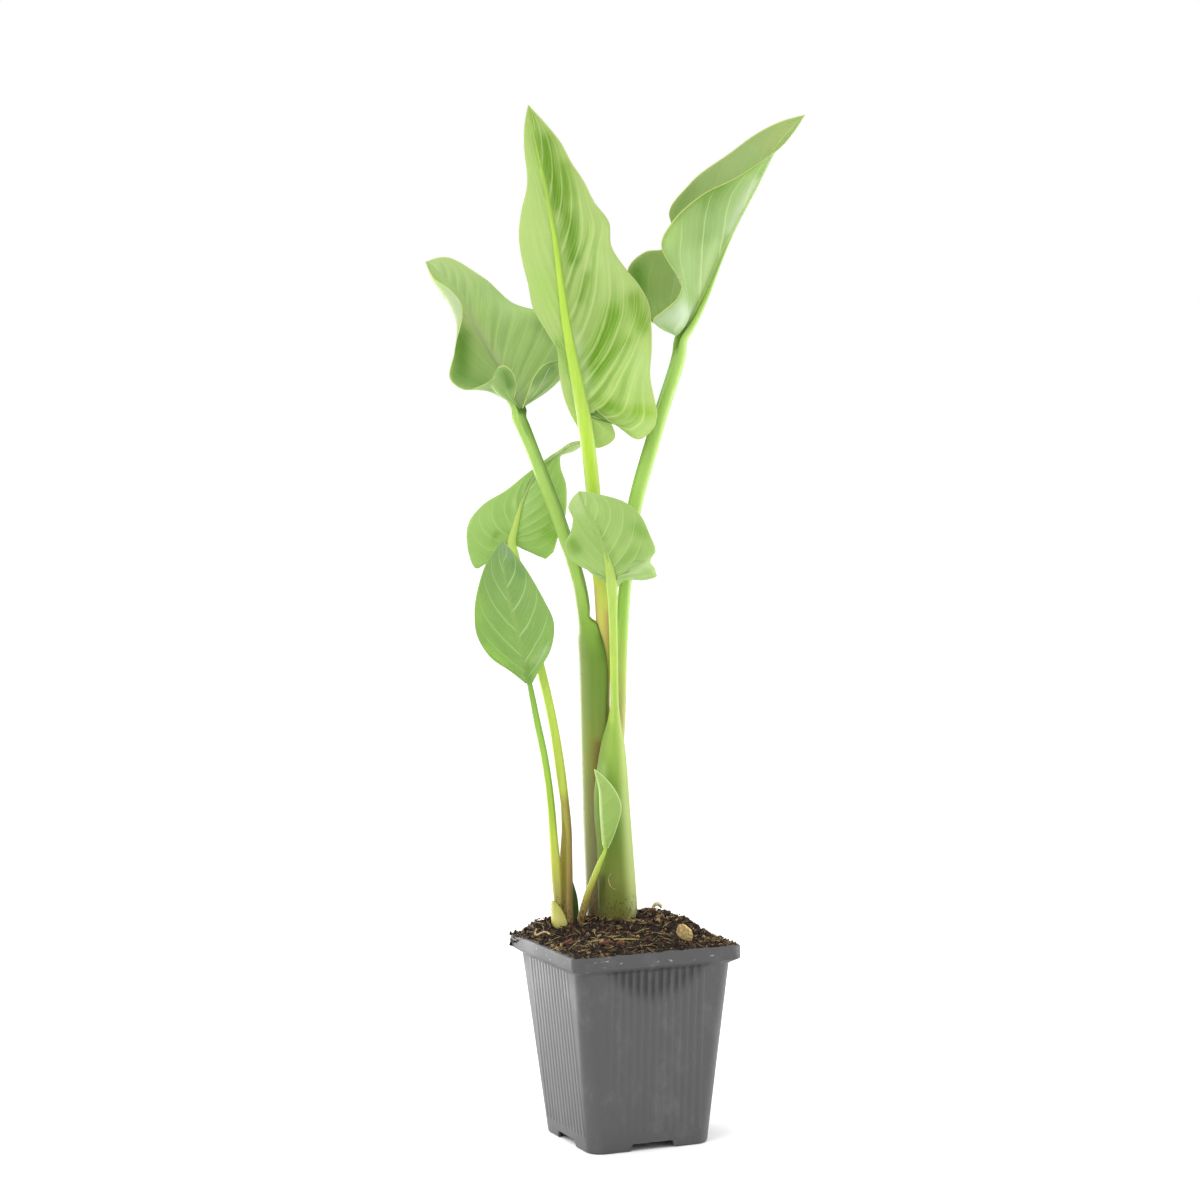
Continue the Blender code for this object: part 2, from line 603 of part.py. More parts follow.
def make_stalk(name, shape, look):
    stalk = mesh_object(name, *loft(stalk_rings(shape)), look, PLANT)
    point_faces_out(stalk)
    return stalk


# ---------------------------------------------------------------- blades
def half_sheet(leaf, side, rows, lobes):
    """Rib, belly and margin points of one half, first round the lobe and then up the rib."""
    rib = np.array(leaf["rib"], float)
    rib_knots = chord_knots(rib)
    stations = list(leaf[side]) + [(1.0, leaf["rib"][-1])]
    start = np.array([s[0] for s in stations])
    margin = np.array([s[1] for s in stations], float)
    foot = smooth(rib_knots, rib, start)
    ahead = smooth(rib_knots, rib, start + VEIN_STEP)
    along = unit(ahead - smooth(rib_knots, rib, start - VEIN_STEP))
    across = margin - foot
    up = np.cross(along, across)
    up *= np.where(up @ np.array(leaf["face"]) < 0, -1, 1)[:, None]
    cup = leaf.get("cup", (CUP, CUP))[side == "right"]
    belly = (foot + margin) / 2 - cup * np.linalg.norm(across, axis=1, keepdims=True) * unit(up)
    for k, station in enumerate(stations):
        if len(station) == 3:
            belly[k] = station[2]
    knots = chord_knots(margin)
    dense = np.linspace(0, 1, MARGIN_POINTS)
    climb = np.maximum.accumulate(smooth(knots, start, dense, limited=True)[:, 0])
    lobe_end = knots[np.nonzero(start <= 0)[0][-1]]
    body = np.interp(np.linspace(0, 1, rows + 1)[1:], climb, dense)
    lobe = np.linspace(0, lobe_end, lobes + 1) if lobe_end > 0 else np.array([0.0])
    at = np.concatenate([lobe, body])
    return smooth(knots, belly, at), smooth(knots, margin, at)


def make_blade(name, leaf, look):
    """A leaf blade: two curved halves on one rib, thickened, with the rib raised beneath."""
    rib = np.array(leaf["rib"], float)
    feet = smooth(chord_knots(rib), rib, np.linspace(0, 1, BODY_ROWS + 1))
    points = list(feet)
    faces = []
    for side in ("left", "right"):
        lobes = LOBE_ROWS if sum(s[0] == 0 for s in leaf[side]) > 1 else 0
        belly, margin = half_sheet(leaf, side, BODY_ROWS, lobes)
        grid = []
        for row in range(lobes + BODY_ROWS):
            foot = max(0, row - lobes)
            indices = [foot]
            for t in np.linspace(0, 1, BLADE_COLUMNS + 1)[1:]:
                indices.append(len(points))
                points.append(feet[foot] * (2 * t * t - 3 * t + 1)
                              + belly[row] * (4 * t - 4 * t * t)
                              + margin[row] * (2 * t * t - t))
            grid.append(indices)
        for lower, upper in zip(grid, grid[1:]):
            for k in range(BLADE_COLUMNS):
                corners = [lower[k], lower[k + 1], upper[k + 1], upper[k]]
                faces.append(tuple(dict.fromkeys(corners)))
        for k in range(BLADE_COLUMNS):
            faces.append((grid[-1][k], grid[-1][k + 1], BODY_ROWS))
        if side == "left":
            faces = [f[::-1] for f in faces]
    blade = mesh_object(name, points, faces, look, PLANT)
    blade.data.update()
    looks_up = sum(p.normal.dot(leaf["face"]) * p.area for p in blade.data.polygons)
    if looks_up < 0:
        blade.data.flip_normals()
    ridge = blade.vertex_groups.new(name="rib")
    for k in range(1, BODY_ROWS):
        ridge.add([k], (1 - k / BODY_ROWS) * min(1, k / 2), "REPLACE")
    shell = blade.modifiers.new("thickness", "SOLIDIFY")
    shell.thickness = RIDGE * BLADE * MM
    shell.offset = -1
    shell.vertex_group = "rib"
    shell.thickness_vertex_group = 1 / RIDGE
    return blade


# ---------------------------------------------------------------- soil and what is in it
def to_plant(x, y):
    turn = math.radians(-PLANT_TURN)
    return (x * math.cos(turn) - y * math.sin(turn), x * math.sin(turn) + y * math.cos(turn))


def soil_height(px, py):
    """Height of the soil at a point of the plant's frame; it falls away along the wall."""
    lift = sum(h * math.exp(-((px - x) ** 2 + (py - y) ** 2) / (2 * s * s))
               for x, y, h, s in HEAPS)
    turn = math.radians(PLANT_TURN)
    x = px * math.cos(turn) - py * math.sin(turn)
    y = px * math.sin(turn) + py * math.cos(turn)
    share = max(abs(x), abs(y)) / (wall_half(SOIL_EDGE) - WALL - GAP)
    settle = min(1.0, max(0.0, (share - SETTLE_FROM) / (1 - SETTLE_FROM)))
    return SOIL_LEVEL + lift + (SOIL_EDGE - SOIL_LEVEL - lift) * settle * settle


def make_soil(cutters):
    look = material("potting_soil", (0.06, 0.035, 0.02), 0.95)
    floor = FLOOR_LIFT + WALL + GAP
    rings = []

    def edge(z):
        return wall_half(z) - WALL - GAP, wall_corner(z) - WALL

    half, radius = edge(SOIL_EDGE)
    outline = rounded_square(half, radius, 0, SOIL_SIDE_POINTS)
    for share in SOIL_RINGS:
        ring = outline * (share, share, 1)
        ring[:, 2] = [soil_height(*to_plant(x, y)) for x, y, _ in ring]
        rings.append(ring)
    half, radius = edge(floor)
    rings.append(rounded_square(half, radius, floor, SOIL_SIDE_POINTS))
    soil = mesh_object("potting_soil", *loft(rings), look)
    point_faces_out(soil)
    cut(soil, cutters)


def make_rhizome(grow=0.0, name="rhizome"):
    """The fleshy underground stem that both tufts of stalks grow from."""
    look = material("rhizome_skin", (0.42, 0.33, 0.2), 0.8)
    run = [(-41, 14, 82, 4), (-36, 13.5, 82, 7.5), (-29, 14, 82, 8.5), (-22, 17, 81, 7.5),
           (-13, 21, 79, 10.5), (-4, 22.5, 79, 12), (5, 23, 80, 9.5), (11, 24, 81, 4)]
    rings = []
    path = np.array(run, float)
    along = unit(np.gradient(path[:, :3], axis=0))
    path[0, :3] -= grow * along[0]
    path[-1, :3] += grow * along[-1]
    for (x, y, z, r), t in zip(path, along):
        side = unit(np.cross(t, (0, 0, 1)))
        up = np.cross(side, t)
        angles = np.linspace(0, 2 * math.pi, 12, endpoint=False)
        rings.append(np.array([(x, y, z) + (r + grow) * (math.cos(a) * side + math.sin(a) * up)
                               for a in angles]))
    rhizome = mesh_object(name, *loft(rings), look, PLANT)
    point_faces_out(rhizome)
    return rhizome


def make_strand(name, points, thickness, look):
    """A thin strand such as a root, straw or twig: a bevelled curve with filled caps."""
    curve = bpy.data.curves.new(name, "CURVE")
    curve.dimensions = "3D"
    curve.bevel_depth = thickness * MM
    curve.bevel_resolution = 1
    curve.use_fill_caps = True
    spline = curve.splines.new("POLY")
    smooth_points = smooth(chord_knots(points), points, np.linspace(0, 1, 3 * len(points)))
    spline.points.add(len(smooth_points) - 1)
    for place, point in zip(spline.points, smooth_points):
        place.co = (*(point * MM), 1.0)
    curve.materials.append(look)
    strand = bpy.data.objects.new(name, curve)
    MODEL.objects.link(strand)
    strand.parent = PLANT
    return strand


CHIP_OUTLINE = ((-0.5, 0.1), (-0.3, 0.42), (0.05, 0.5), (0.35, 0.3), (0.5, -0.05), (0.2, -0.4),
                (-0.25, -0.45))


def on_soil(x, y, lift=0.0):
    return (x, y, soil_height(x, y) + lift)


def chip(x, y, size, turn, lift, lean=None):
    """Points and faces of a flat splinter of bark or wood: lying on the soil, or standing on
    it with its length and its width along the two directions of a lean."""
    long, wide, thick = size
    turn = math.radians(turn)
    rings = []
    for level, shrink in ((0.0, 1.0), (1.0, 0.85)):
        ring = []
        for u, v in CHIP_OUTLINE:
            a, b = u * long * shrink, v * wide * shrink
            if lean:
                length, width = unit(np.array(lean[0])), unit(np.array(lean[1]))
                middle = np.array((x, y, soil_height(x, y) + lift))
                ring.append(middle + a * length + b * width
                            + level * thick * np.cross(length, width))
            else:
                px = x + a * math.cos(turn) - b * math.sin(turn)
                py = y + a * math.sin(turn) + b * math.cos(turn)
                ring.append((px, py, soil_height(px, py) + lift + level * thick))
        rings.append(np.array(ring))
    return loft(rings)


def make_litter():
    wood = material("wood_chip", (0.45, 0.32, 0.18), 0.8)
    bark = material("bark", (0.30, 0.14, 0.07), 0.85)
    straw = material("straw", (0.45, 0.40, 0.16), 0.7)
    root = material("dry_root", (0.50, 0.38, 0.22), 0.8)
    lean = ((0.64, -0.35, -0.68), (0.66, -0.21, 0.72))
    splinter = mesh_object("wood_chip", *chip(30.3, -20, (10.5, 7.5, 2.4), 0, 4.2, lean), wood, PLANT)
    point_faces_out(splinter)
    barks = ((-9, -32, (7, 3.5, 2), 20), (-2, -34, (5, 2.6, 1.5), -35),
             (-28, -24, (6, 3, 2), 40), (14, 33, (6, 3, 1.8), 10))
    for k, (x, y, size, turn) in enumerate(barks, 1):
        piece = mesh_object(f"bark_piece_{k}", *chip(x, y, size, turn, 0.6), bark, PLANT)
        point_faces_out(piece)
    make_strand("twig", [on_soil(15.2, 40, 0.7), on_soil(15.6, 40.2, 2.6), on_soil(17.2, 40.5, 4.1),
                         on_soil(19, 40.8, 3.7), on_soil(19.6, 41, 2.2)], 0.8, wood)
    make_strand("straw", [on_soil(-18, -24, 1.2), on_soil(-10, -22, 1.2), on_soil(2, -22, 1.2),
                          on_soil(10, -24, 1.2)], 0.5, straw)
    make_strand("curled_root", [on_soil(-44, 8, 1.5), on_soil(-44, 3, 1.5), on_soil(-40, 1, 1.4),
                                on_soil(-37, -4, 1.4)], 0.6, root)


# ---------------------------------------------------------------- whole plant
def make_plant():
    greens = {
        "center_leaf": (0.33, 0.52, 0.10),
        "right_leaf": (0.30, 0.48, 0.14),
        "left_leaf": (0.24, 0.42, 0.14),
        "back_leaf": (0.30, 0.47, 0.15),
        "front_leaf": (0.33, 0.52, 0.14),
        "small_leaf": (0.19, 0.38, 0.14),
        "young_leaf": (0.32, 0.50, 0.15),
    }
    blades = {
        "center_leaf": CENTER_LEAF,
        "right_leaf": RIGHT_LEAF,
        "left_leaf": LEFT_LEAF,
        "back_leaf": BACK_LEAF,
        "front_leaf": FRONT_LEAF,
        "small_leaf": SMALL_LEAF,
        "young_leaf": YOUNG_LEAF,
    }
    for name, colour in greens.items():
        make_blade(name + "_blade", blades[name], material(name + "_green", colour, 0.4))
        make_stalk(name + "_stalk", STALKS[name],
                   material(name + "_stalk_green", (0.36, 0.55, 0.13), 0.4))
    make_stalk("side_shoot", SIDE_SHOOT, material("shoot_green", (0.06, 0.16, 0.05), 0.5))
    make_stalk("basal_scale", BASAL_SCALE, material("scale_yellow", (0.62, 0.66, 0.28), 0.5))


def make_root_room():
    """Cutters for the stalks, the bud and the rhizome, each a gap wider than its piece."""
    look = material("cutter", (1, 0, 0), 1.0)
    rooted = ("front_leaf", "left_leaf", "back_leaf", "young_leaf", "small_leaf")
    shapes = {name: STALKS[name] for name in rooted}
    shapes.update(side_shoot=SIDE_SHOOT, basal_scale=BASAL_SCALE)
    cutters = []
    for name, shape in shapes.items():
        rings = stalk_rings(shape, grow=GAP, solid=True, until=ROOM_TOP)
        drop = rings[0] - (0, 0, ROOM_DROP)
        room = mesh_object("room_" + name, *loft([drop] + rings), look, PLANT)
        point_faces_out(room)
        cutters.append(room)
    cutters.append(make_rhizome(RHIZOME_GAP, "room_rhizome"))
    return cutters


def make_all():
    make_pot()
    make_plant()
    make_rhizome()
    make_soil(make_root_room())
    make_litter()


for old in list(bpy.data.objects):
    bpy.data.objects.remove(old, do_unlink=True)
MODEL = bpy.data.collections.new("potted_calla_lily")
CUTTERS = bpy.data.collections.new("cutters")
for group in (MODEL, CUTTERS):
    bpy.context.scene.collection.children.link(group)
PLANT = bpy.data.objects.new("plant_frame", None)
PLANT.rotation_euler.z = math.radians(PLANT_TURN)
MODEL.objects.link(PLANT)
make_all()
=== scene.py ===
"""Potted calla lily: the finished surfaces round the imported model.

Plant points are in millimetres in the plant's frame, whose +X runs along the leafy side and whose
+Y runs from front to back; to_row turns them into the pot's frame, in metres.
"""
import json
import math

import bmesh
import bpy
import numpy as np
from mathutils import Matrix, Vector, noise

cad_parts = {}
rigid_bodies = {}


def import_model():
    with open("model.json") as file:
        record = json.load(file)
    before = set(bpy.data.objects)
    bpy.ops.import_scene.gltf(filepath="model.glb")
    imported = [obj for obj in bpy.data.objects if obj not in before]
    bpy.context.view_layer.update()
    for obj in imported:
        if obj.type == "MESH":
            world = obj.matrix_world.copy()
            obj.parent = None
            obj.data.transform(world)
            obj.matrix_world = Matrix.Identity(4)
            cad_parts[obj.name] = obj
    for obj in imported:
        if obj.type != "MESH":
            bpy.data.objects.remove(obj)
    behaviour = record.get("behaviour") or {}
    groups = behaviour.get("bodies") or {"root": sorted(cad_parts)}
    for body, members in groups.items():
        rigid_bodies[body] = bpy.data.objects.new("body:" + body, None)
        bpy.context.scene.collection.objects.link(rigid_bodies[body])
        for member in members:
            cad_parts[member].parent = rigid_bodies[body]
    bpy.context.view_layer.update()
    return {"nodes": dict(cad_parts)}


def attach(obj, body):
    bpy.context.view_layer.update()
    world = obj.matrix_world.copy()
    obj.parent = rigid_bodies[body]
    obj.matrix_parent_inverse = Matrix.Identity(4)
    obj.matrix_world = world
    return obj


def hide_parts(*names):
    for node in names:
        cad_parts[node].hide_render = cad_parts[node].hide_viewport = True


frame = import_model()

MM = 0.001
PLANT_TURN = math.radians(-22.33)


# ---------------------------------------------------------------- curves
def smooth(knots, values, at, limited=False):
    """Values at the places asked for, on a smooth curve through the points given."""
    knots = np.asarray(knots, float)
    values = np.asarray(values, float).reshape(len(knots), -1)
    step = np.diff(knots)[:, None]
    slope = np.diff(values, axis=0) / step
    tangent = np.vstack([slope[:1], slope])
    if len(knots) > 2:
        before, after = slope[:-1], slope[1:]
        inner = (step[1:] * before + step[:-1] * after) / (step[1:] + step[:-1])
        if limited:
            rising = before * after > 0
            inner = np.where(rising, 2 * before * after / np.where(rising, before + after, 1), 0)
        ends = 1.5 * slope[[0, -1]] - 0.5 * inner[[0, -1]]
        tangent = np.vstack([ends[:1], inner, ends[1:]])
    at = np.clip(np.asarray(at, float), knots[0], knots[-1])
    i = np.clip(np.searchsorted(knots, at, side="right") - 1, 0, len(knots) - 2)
    h = step[i]
    t = ((at - knots[i]) / h[:, 0])[:, None]
    return (values[i] * (2 * t**3 - 3 * t**2 + 1) + tangent[i] * h * (t**3 - 2 * t**2 + t)
            + values[i + 1] * (3 * t**2 - 2 * t**3) + tangent[i + 1] * h * (t**3 - t**2))


def chord_knots(points):
    """Running distance along a list of points, from 0 to 1."""
    run = np.cumsum(np.linalg.norm(np.diff(np.asarray(points, float)[:, :3], axis=0), axis=1))
    return np.concatenate([[0.0], run]) / run[-1]


def unit(v):
    return v / np.maximum(np.linalg.norm(v, axis=-1, keepdims=True), 1e-12)


def ease(low, high, value):
    """0 below low, 1 above high and a soft step between."""
    t = np.clip((value - low) / (high - low), 0, 1)
    return t * t * (3 - 2 * t)


def to_row(points):
    """From plant millimetres to the pot's frame in metres."""
    points = np.asarray(points, float)
    c, s = math.cos(PLANT_TURN), math.sin(PLANT_TURN)
    turned = points @ np.array([[c, s, 0], [-s, c, 0], [0, 0, 1]])
    return turned * MM


def fill_down(rows):
    """Rows of one length: a short row takes what it lacks from the row before it."""
    full = [rows[0]]
    for row in rows[1:]:
        full.append((*row, *full[-1][len(row):]))
    return full


# ---------------------------------------------------------------- the leaves
# Colours are red, green and blue as displayed, 0 to 255. In each leaf:
# "face"   the way the upper surface looks; "cup" how hollow the left and right halves are
# "rib"    points from stalk to tip
# "left", "right"   stations along a half's margin, from the notch beside the stalk, round the
#          basal lobe, to the tip: how far up the rib the station's vein starts (0 to 1), the
#          margin point and, on a folded stretch, the point passed half way across
# "style"  vein count, bend and early rise; rib size; quilting of the two halves; waves (half,
#          place, spread, height) and frills (half, cycles, start, height); and "keel", which
#          carries the stalk on beneath the rib: distance up it, drop below the blade, half
#          depth, half width, wrap and hollow
# "tone"   colours from foot to tip (place, colour), depths of colour, and the painted strokes,
#          which lay painted light and shade, such as shaded curls and pale sheen, along with the
#          leaf's own patches of colour: x, z of both ends, radius, colour, strength
# "stalk"  wall at a sheath's back and edges, and a run from the foot up: x, y, z, half depth
#          along the opening, half width across it, wrap of the outer wall (degrees each way
#          from its back), hollow (0 to 1) and the way the opening looks (degrees from +X);
#          "turn" is its way beneath the blade where that isn't the way of the run's last row
# "stalk_tone"   colours by height; the sides' tints as seen from in front, painted light and shade
#          laid over the stalk's own tone: colour, strength, from and up to a height;
#          the groove, whose colour is painted shade inside the hollow; the dirty foot and its top;
#          the edges' colours, each from a height up
# In a run and a keel, a short row takes what it lacks from the row before it.
PLAIN_TONE = {"fine": 0.3, "width": 0.1, "gloss": 0.4, "through": 0.4, "deep_reach": (0.5, 1)}
LEAVES = {
    "center_leaf": {
        "slot": "bright_leaf", "face": (0.1, 1, 0.1), "cup": (0.03, -0.16),
        "rib": [
            (-16, 16, 362), (-20, 13, 383), (-25, 9, 413), (-29, 5, 449), (-33.5, 0, 475),
            (-38, -4, 497), (-41, -9, 514.5)],
        "left": [
            (0, -12, 18, 363.5), (0, -4, 21, 359.5), (0, -0.8, 22, 350.5), (0, -10, 22.5, 345.5),
            (0, -19.5, 18.5, 356), (0.02, -25.2, 15, 369), (0.05, -28.2, 12.5, 383),
            (0.1, -29.5, 10.5, 396), (0.15, -34, 9.5, 404.5), (0.21, -40.5, 8, 415),
            (0.29, -43, 6, 428), (0.36, -45.5, 5, 439), (0.45, -47, 3.5, 451),
            (0.55, -45.5, 1.5, 463), (0.64, -42.5, -0.5, 475), (0.8, -43.5, -4.5, 497),
            (0.93, -42.6, -7.5, 508)],
        "right": [
            (0, -9.5, 15, 364.5), (0, 1, 9, 355.5), (0, 12, 5, 350), (0, 19.5, 5, 356),
            (0.03, 18.5, 7.5, 372), (0.08, 16.5, 9, 388), (0.14, 18.5, 10, 405),
            (0.2, 17.5, 9, 417), (0.26, 13, 8.5, 426), (0.34, 5, 6.5, 435), (0.43, -1, 4.5, 446),
            (0.52, -2.5, 1, 457), (0.6, -9.5, -1.5, 468), (0.72, -18.5, -4.5, 484),
            (0.86, -27.5, -7, 499)],
        "style": {
            "veins": 15, "bend": 0.26, "early": 0.6, "rib": 2, "quilt": (0.15, 1.2),
            "waves": [(1, 0.34, 0.05, 1.5), (1, 0.45, 0.04, -1.2), (-1, 0.62, 0.08, 0.8)],
            "frills": [(1, 9, 0.2, 0.5), (-1, 6, 0, 0.4)],
            "keel": [
                (0, 2.9, 2.4, 3.5, 150, 0), (10, 2.6, 2.1, 3.2), (25, 2.2, 1.8, 2.7),
                (45, 1.9, 1.4, 2.1), (70, 1.5, 1, 1.5), (95, 1.2, 0.7, 1), (125, 0.9, 0.4, 0.6)]},
        "tone": {
            "under": [(0, 198, 222, 134), (0.5, 200, 224, 140), (1, 186, 212, 122)],
            "above": [(0, 128, 164, 88), (1, 124, 158, 84)],
            "rib": [(0, 190, 222, 104), (0.6, 190, 220, 104), (1, 176, 208, 96)],
            "deep_colour": (126, 172, 46), "vein_under": (222, 238, 164),
            "vein_above": (176, 204, 136), "border": (212, 224, 150), "deep": (0.05, 0.5),
            "vein": (0.12, 0.45), "streaky": 1.3, "fine": 0.35, "width": 0.13, "gloss": 0.36,
            "through": 0.42,
            "painted_under": [
                (-33, 497, -26.5, 466, 4.3, 118, 164, 30, 0.95),
                (-24, 484, -22, 471, 4, 134, 176, 48, 0.75),
                (-22, 461, -20.5, 440, 3.8, 112, 160, 22, 0.95),
                (-13.5, 431, -17, 420, 3, 128, 174, 44, 0.65),
                (-1, 412, -12, 388, 6, 124, 174, 26, 0.85),
                (10, 419, 14, 406, 5, 132, 174, 42, 0.85),
                (6, 399, -9, 384, 3, 128, 176, 28, 0.6),
                (-8.5, 369, 3, 363, 3.5, 140, 186, 34, 0.75),
                (8, 364, 17, 363, 3.2, 160, 198, 50, 0.75),
                (-13, 443, 1, 435, 4.5, 208, 230, 150, 0.6),
                (-18, 466, -8, 452, 5, 210, 232, 146, 0.6),
                (-6, 437, 1, 427, 4, 206, 228, 146, 0.6),
                (12, 391, 13, 378, 4.5, 198, 220, 148, 0.65),
                (-9, 374, 5, 383, 2, 190, 216, 124, 0.5),
                (-40, 465, -40, 448, 8, 204, 228, 140, 0.6),
                (-36, 430, -31, 418, 6, 192, 228, 118, 0.6),
                (-28, 398, -24, 384, 3, 144, 194, 76, 0.5),
                (-20, 402, -13, 374, 2.5, 220, 240, 178, 0.85)]},
        "stalk": {
            "wall": (2, 1.2),
            "run": [
                (-5.5, 23, 92, 3.2, 3.2, 150, 0.15, 90), (-7, 23.5, 140), (-8.6, 24, 169),
                (-8.6, 24, 215), (-8.1, 23, 250, 3.2, 3.5), (-8.6, 21.7, 270, 3.2, 3.6),
                (-10.5, 20.2, 292), (-12.8, 17.5, 332, 3.1, 3.7),
                (-15, 14, 352, 2.8, 3.6, 150, 0.1)]},
        "stalk_tone": {
            "stops": [
                (92, 150, 124, 80), (180, 168, 150, 84), (235, 184, 178, 84), (262, 204, 208, 98),
                (300, 192, 220, 88), (340, 184, 218, 66), (365, 186, 220, 84)],
            "left": (208, 224, 146, 0.6, 285, 365), "right": (202, 222, 134, 0.5, 285, 365),
            "painted": [
                (-11.3, 254, -11.8, 276, 1.3, 206, 168, 122, 0.6),
                (-6, 248, -5.8, 262, 1.8, 202, 160, 108, 0.6)]}},
    "right_leaf": {
        "slot": "soft_leaf", "face": (-0.8, 0, 0.6),
        "rib": [
            (32, 29, 401), (42, 30, 417), (55, 31, 445), (70, 33, 472.5), (87, 37, 501),
            (97.5, 39, 511.5)],
        "left": [
            (0, 31.5, 25, 403), (0, 23, 15, 405), (0, 19, 8, 409), (0, 24, 2, 413),
            (0.02, 31, -2, 419), (0.05, 33, -4, 426), (0.1, 26.5, -6, 437), (0.16, 23.5, -7, 445),
            (0.27, 29, -4, 457), (0.46, 42.5, 4, 469), (0.66, 61, 15, 479), (0.86, 78, 27, 489.5),
            (0.93, 89, 32.5, 499.5)],
        "right": [
            (0, 30, 32, 403), (0, 17, 37, 410), (0, 8, 43, 424), (0.02, 7.5, 46, 436.5),
            (0.05, 16.5, 48, 444.5), (0.1, 26, 49, 446), (0.18, 30.5, 50, 454),
            (0.27, 28.5, 51, 464), (0.42, 39, 51, 478), (0.66, 61, 48, 494.5),
            (0.9, 85, 43, 508.5)],
        "style": {
            "veins": 8, "bend": 0.26, "early": 0.8, "rib": 1.3, "quilt": (0.3, 0.25),
            "frills": [(-1, 5, 0.3, 0.4), (1, 5, 0.1, 0.5)],
            "keel": [
                (0, 1.6, 3.6, 3.7, 120, 0.85), (6, 1.9, 3, 3.4, 125, 0.8),
                (14, 2, 2.3, 2.9, 130, 0.5), (24, 1.8, 1.6, 2.3, 140, 0.1),
                (38, 1.5, 1.1, 1.8, 150, 0), (54, 1.1, 0.8, 1.2), (72, 0.8, 0.4, 0.6)]},
        "tone": {
            "under": [(0, 160, 190, 118), (0.25, 146, 178, 98), (1, 140, 172, 92)],
            "above": [(0, 150, 174, 100), (0.5, 154, 178, 108), (1, 156, 180, 110)],
            "rib": [(0, 196, 222, 118), (0.3, 190, 216, 136), (1, 180, 208, 140)],
            "deep_colour": (138, 176, 88), "vein_under": (208, 226, 156),
            "vein_above": (168, 192, 136), "border": (214, 224, 136), "deep": (0.25, 0.2),
            "deep_reach": (0.4, 0.95), "vein": (0.4, 0.25), "streaky": 0.5, "fine": 0.15,
            "gloss": 0.38, "through": 0.36,
            "painted_under": [
                (73, 485, 59, 479.5, 3.8, 138, 178, 68, 0.75),
                (59, 479.5, 47, 467, 4.5, 112, 152, 50, 0.85),
                (48, 463, 46, 450, 4, 118, 158, 66, 0.75),
                (72, 477, 59, 454, 3.3, 186, 202, 164, 0.8),
                (51, 447, 43, 424, 2.8, 182, 206, 142, 0.6),
                (32, 408, 34, 412, 5.5, 206, 220, 198, 0.9),
                (25.5, 410, 22, 409, 4, 182, 202, 160, 0.8),
                (28, 453, 27, 448, 5, 178, 210, 122, 0.7),
                (36, 440, 35, 428, 5, 160, 192, 114, 0.6)],
            "painted_above": [
                (88, 506, 79, 498, 6, 168, 182, 112, 0.75),
                (70, 495, 60, 488, 6, 162, 182, 116, 0.6),
                (39, 475, 33, 464, 5, 132, 160, 82, 0.75),
                (12, 434, 13, 427, 4, 94, 146, 34, 0.85),
                (18.5, 439, 18, 430, 2.5, 158, 188, 104, 0.5),
                (26, 430, 25, 424, 4.5, 153, 174, 104, 0.7),
                (22, 416, 20, 414, 4, 172, 194, 130, 0.7)]},
        "stalk": {
            "wall": (2, 1.2),
            "run": [
                (1.4, 22.5, 92, 3, 3, 150, 0.1, 150), (0.1, 22.7, 140, 2.9, 2.9),
                (-2.2, 22.7, 175, 2.7, 2.7), (-0.4, 22.2, 212, 3.1, 3, 150, 0.1, 160),
                (0.8, 22.5, 248, 3.4, 3.1, 150, 0.1, 170),
                (3.1, 23, 277, 3.5, 3.3, 145, 0.15, 180), (8.1, 24, 315, 4.2, 3.6, 140, 0.3),
                (17.8, 25.5, 348, 4.2, 3.7, 135, 0.35, 190),
                (24.6, 27, 369, 3.9, 3.8, 130, 0.3, 195),
                (32, 28.5, 392, 3.8, 3.8, 125, 0.4, 203)],
            "turn": 205},
        "stalk_tone": {
            "stops": [
                (92, 160, 140, 100), (190, 188, 182, 118), (215, 186, 190, 112),
                (236, 180, 202, 104), (262, 158, 200, 86), (290, 168, 206, 98),
                (345, 166, 204, 100), (400, 172, 208, 108)],
            "left": (128, 166, 68, 0.75, 245, 400), "right": (196, 222, 134, 0.5, 245, 400),
            "groove": (96, 142, 44)}},
    "left_leaf": {
        "slot": "silver_leaf", "face": (0.5, -0.7, 0.5),
        "rib": [
            (-48, 24, 366), (-54, 30, 377.5), (-60, 35, 389), (-69, 38, 404), (-75, 40, 418),
            (-83.5, 40, 430), (-95, 38, 440.5)],
        "left": [
            (0, -51, 20, 371, -50.5, 23, 368.8), (0, -49.6, 15, 379, -52, 20, 372.6),
            (0, -51.5, 13, 384.5, -54, 18.5, 374.6), (0, -55.5, 12.5, 387.6, -57, 17.5, 376.2),
            (0, -59, 13, 386.3, -60, 17, 376.4), (0, -60.3, 14, 381.5, -61, 18, 376),
            (0, -67, 14, 377.4, -60, 21, 375), (0, -76, 12, 376.2, -63, 23, 374.8),
            (0.04, -82, 12, 380.5, -68, 24, 380), (0.12, -80.5, 14, 394.5, -72, 27, 391),
            (0.32, -76, 18, 411.5, -78, 29, 408), (0.47, -76.5, 22, 417.5, -82, 32, 416),
            (0.66, -83, 28, 426.5, -86.5, 35, 423), (0.86, -91, 33, 432.5, -91, 37, 431.5)],
        "right": [
            (0, -47, 21, 366, -47.3, 22.5, 366), (0, -44.6, 18, 372.6, -45.3, 22, 369.8),
            (0, -42.6, 16, 378, -42.5, 23, 374), (0, -40, 15, 382.5, -38.5, 25, 377),
            (0, -35.5, 16, 387.5, -33, 28, 379.4), (0, -29, 19, 390, -28, 31, 380.5),
            (0.02, -21.5, 25, 394, -27, 35, 384), (0.06, -17.5, 31, 402, -33, 38, 392),
            (0.12, -22.5, 37, 411, -41, 40, 399), (0.22, -32.5, 41, 414.5, -49, 41, 404),
            (0.32, -42, 44, 416, -56, 42, 408), (0.42, -50.5, 46, 419, -62, 43, 414),
            (0.68, -66.5, 46.5, 432.5, -74, 43.5, 428), (0.9, -86.5, 43, 443, -88, 41, 439)],
        "style": {
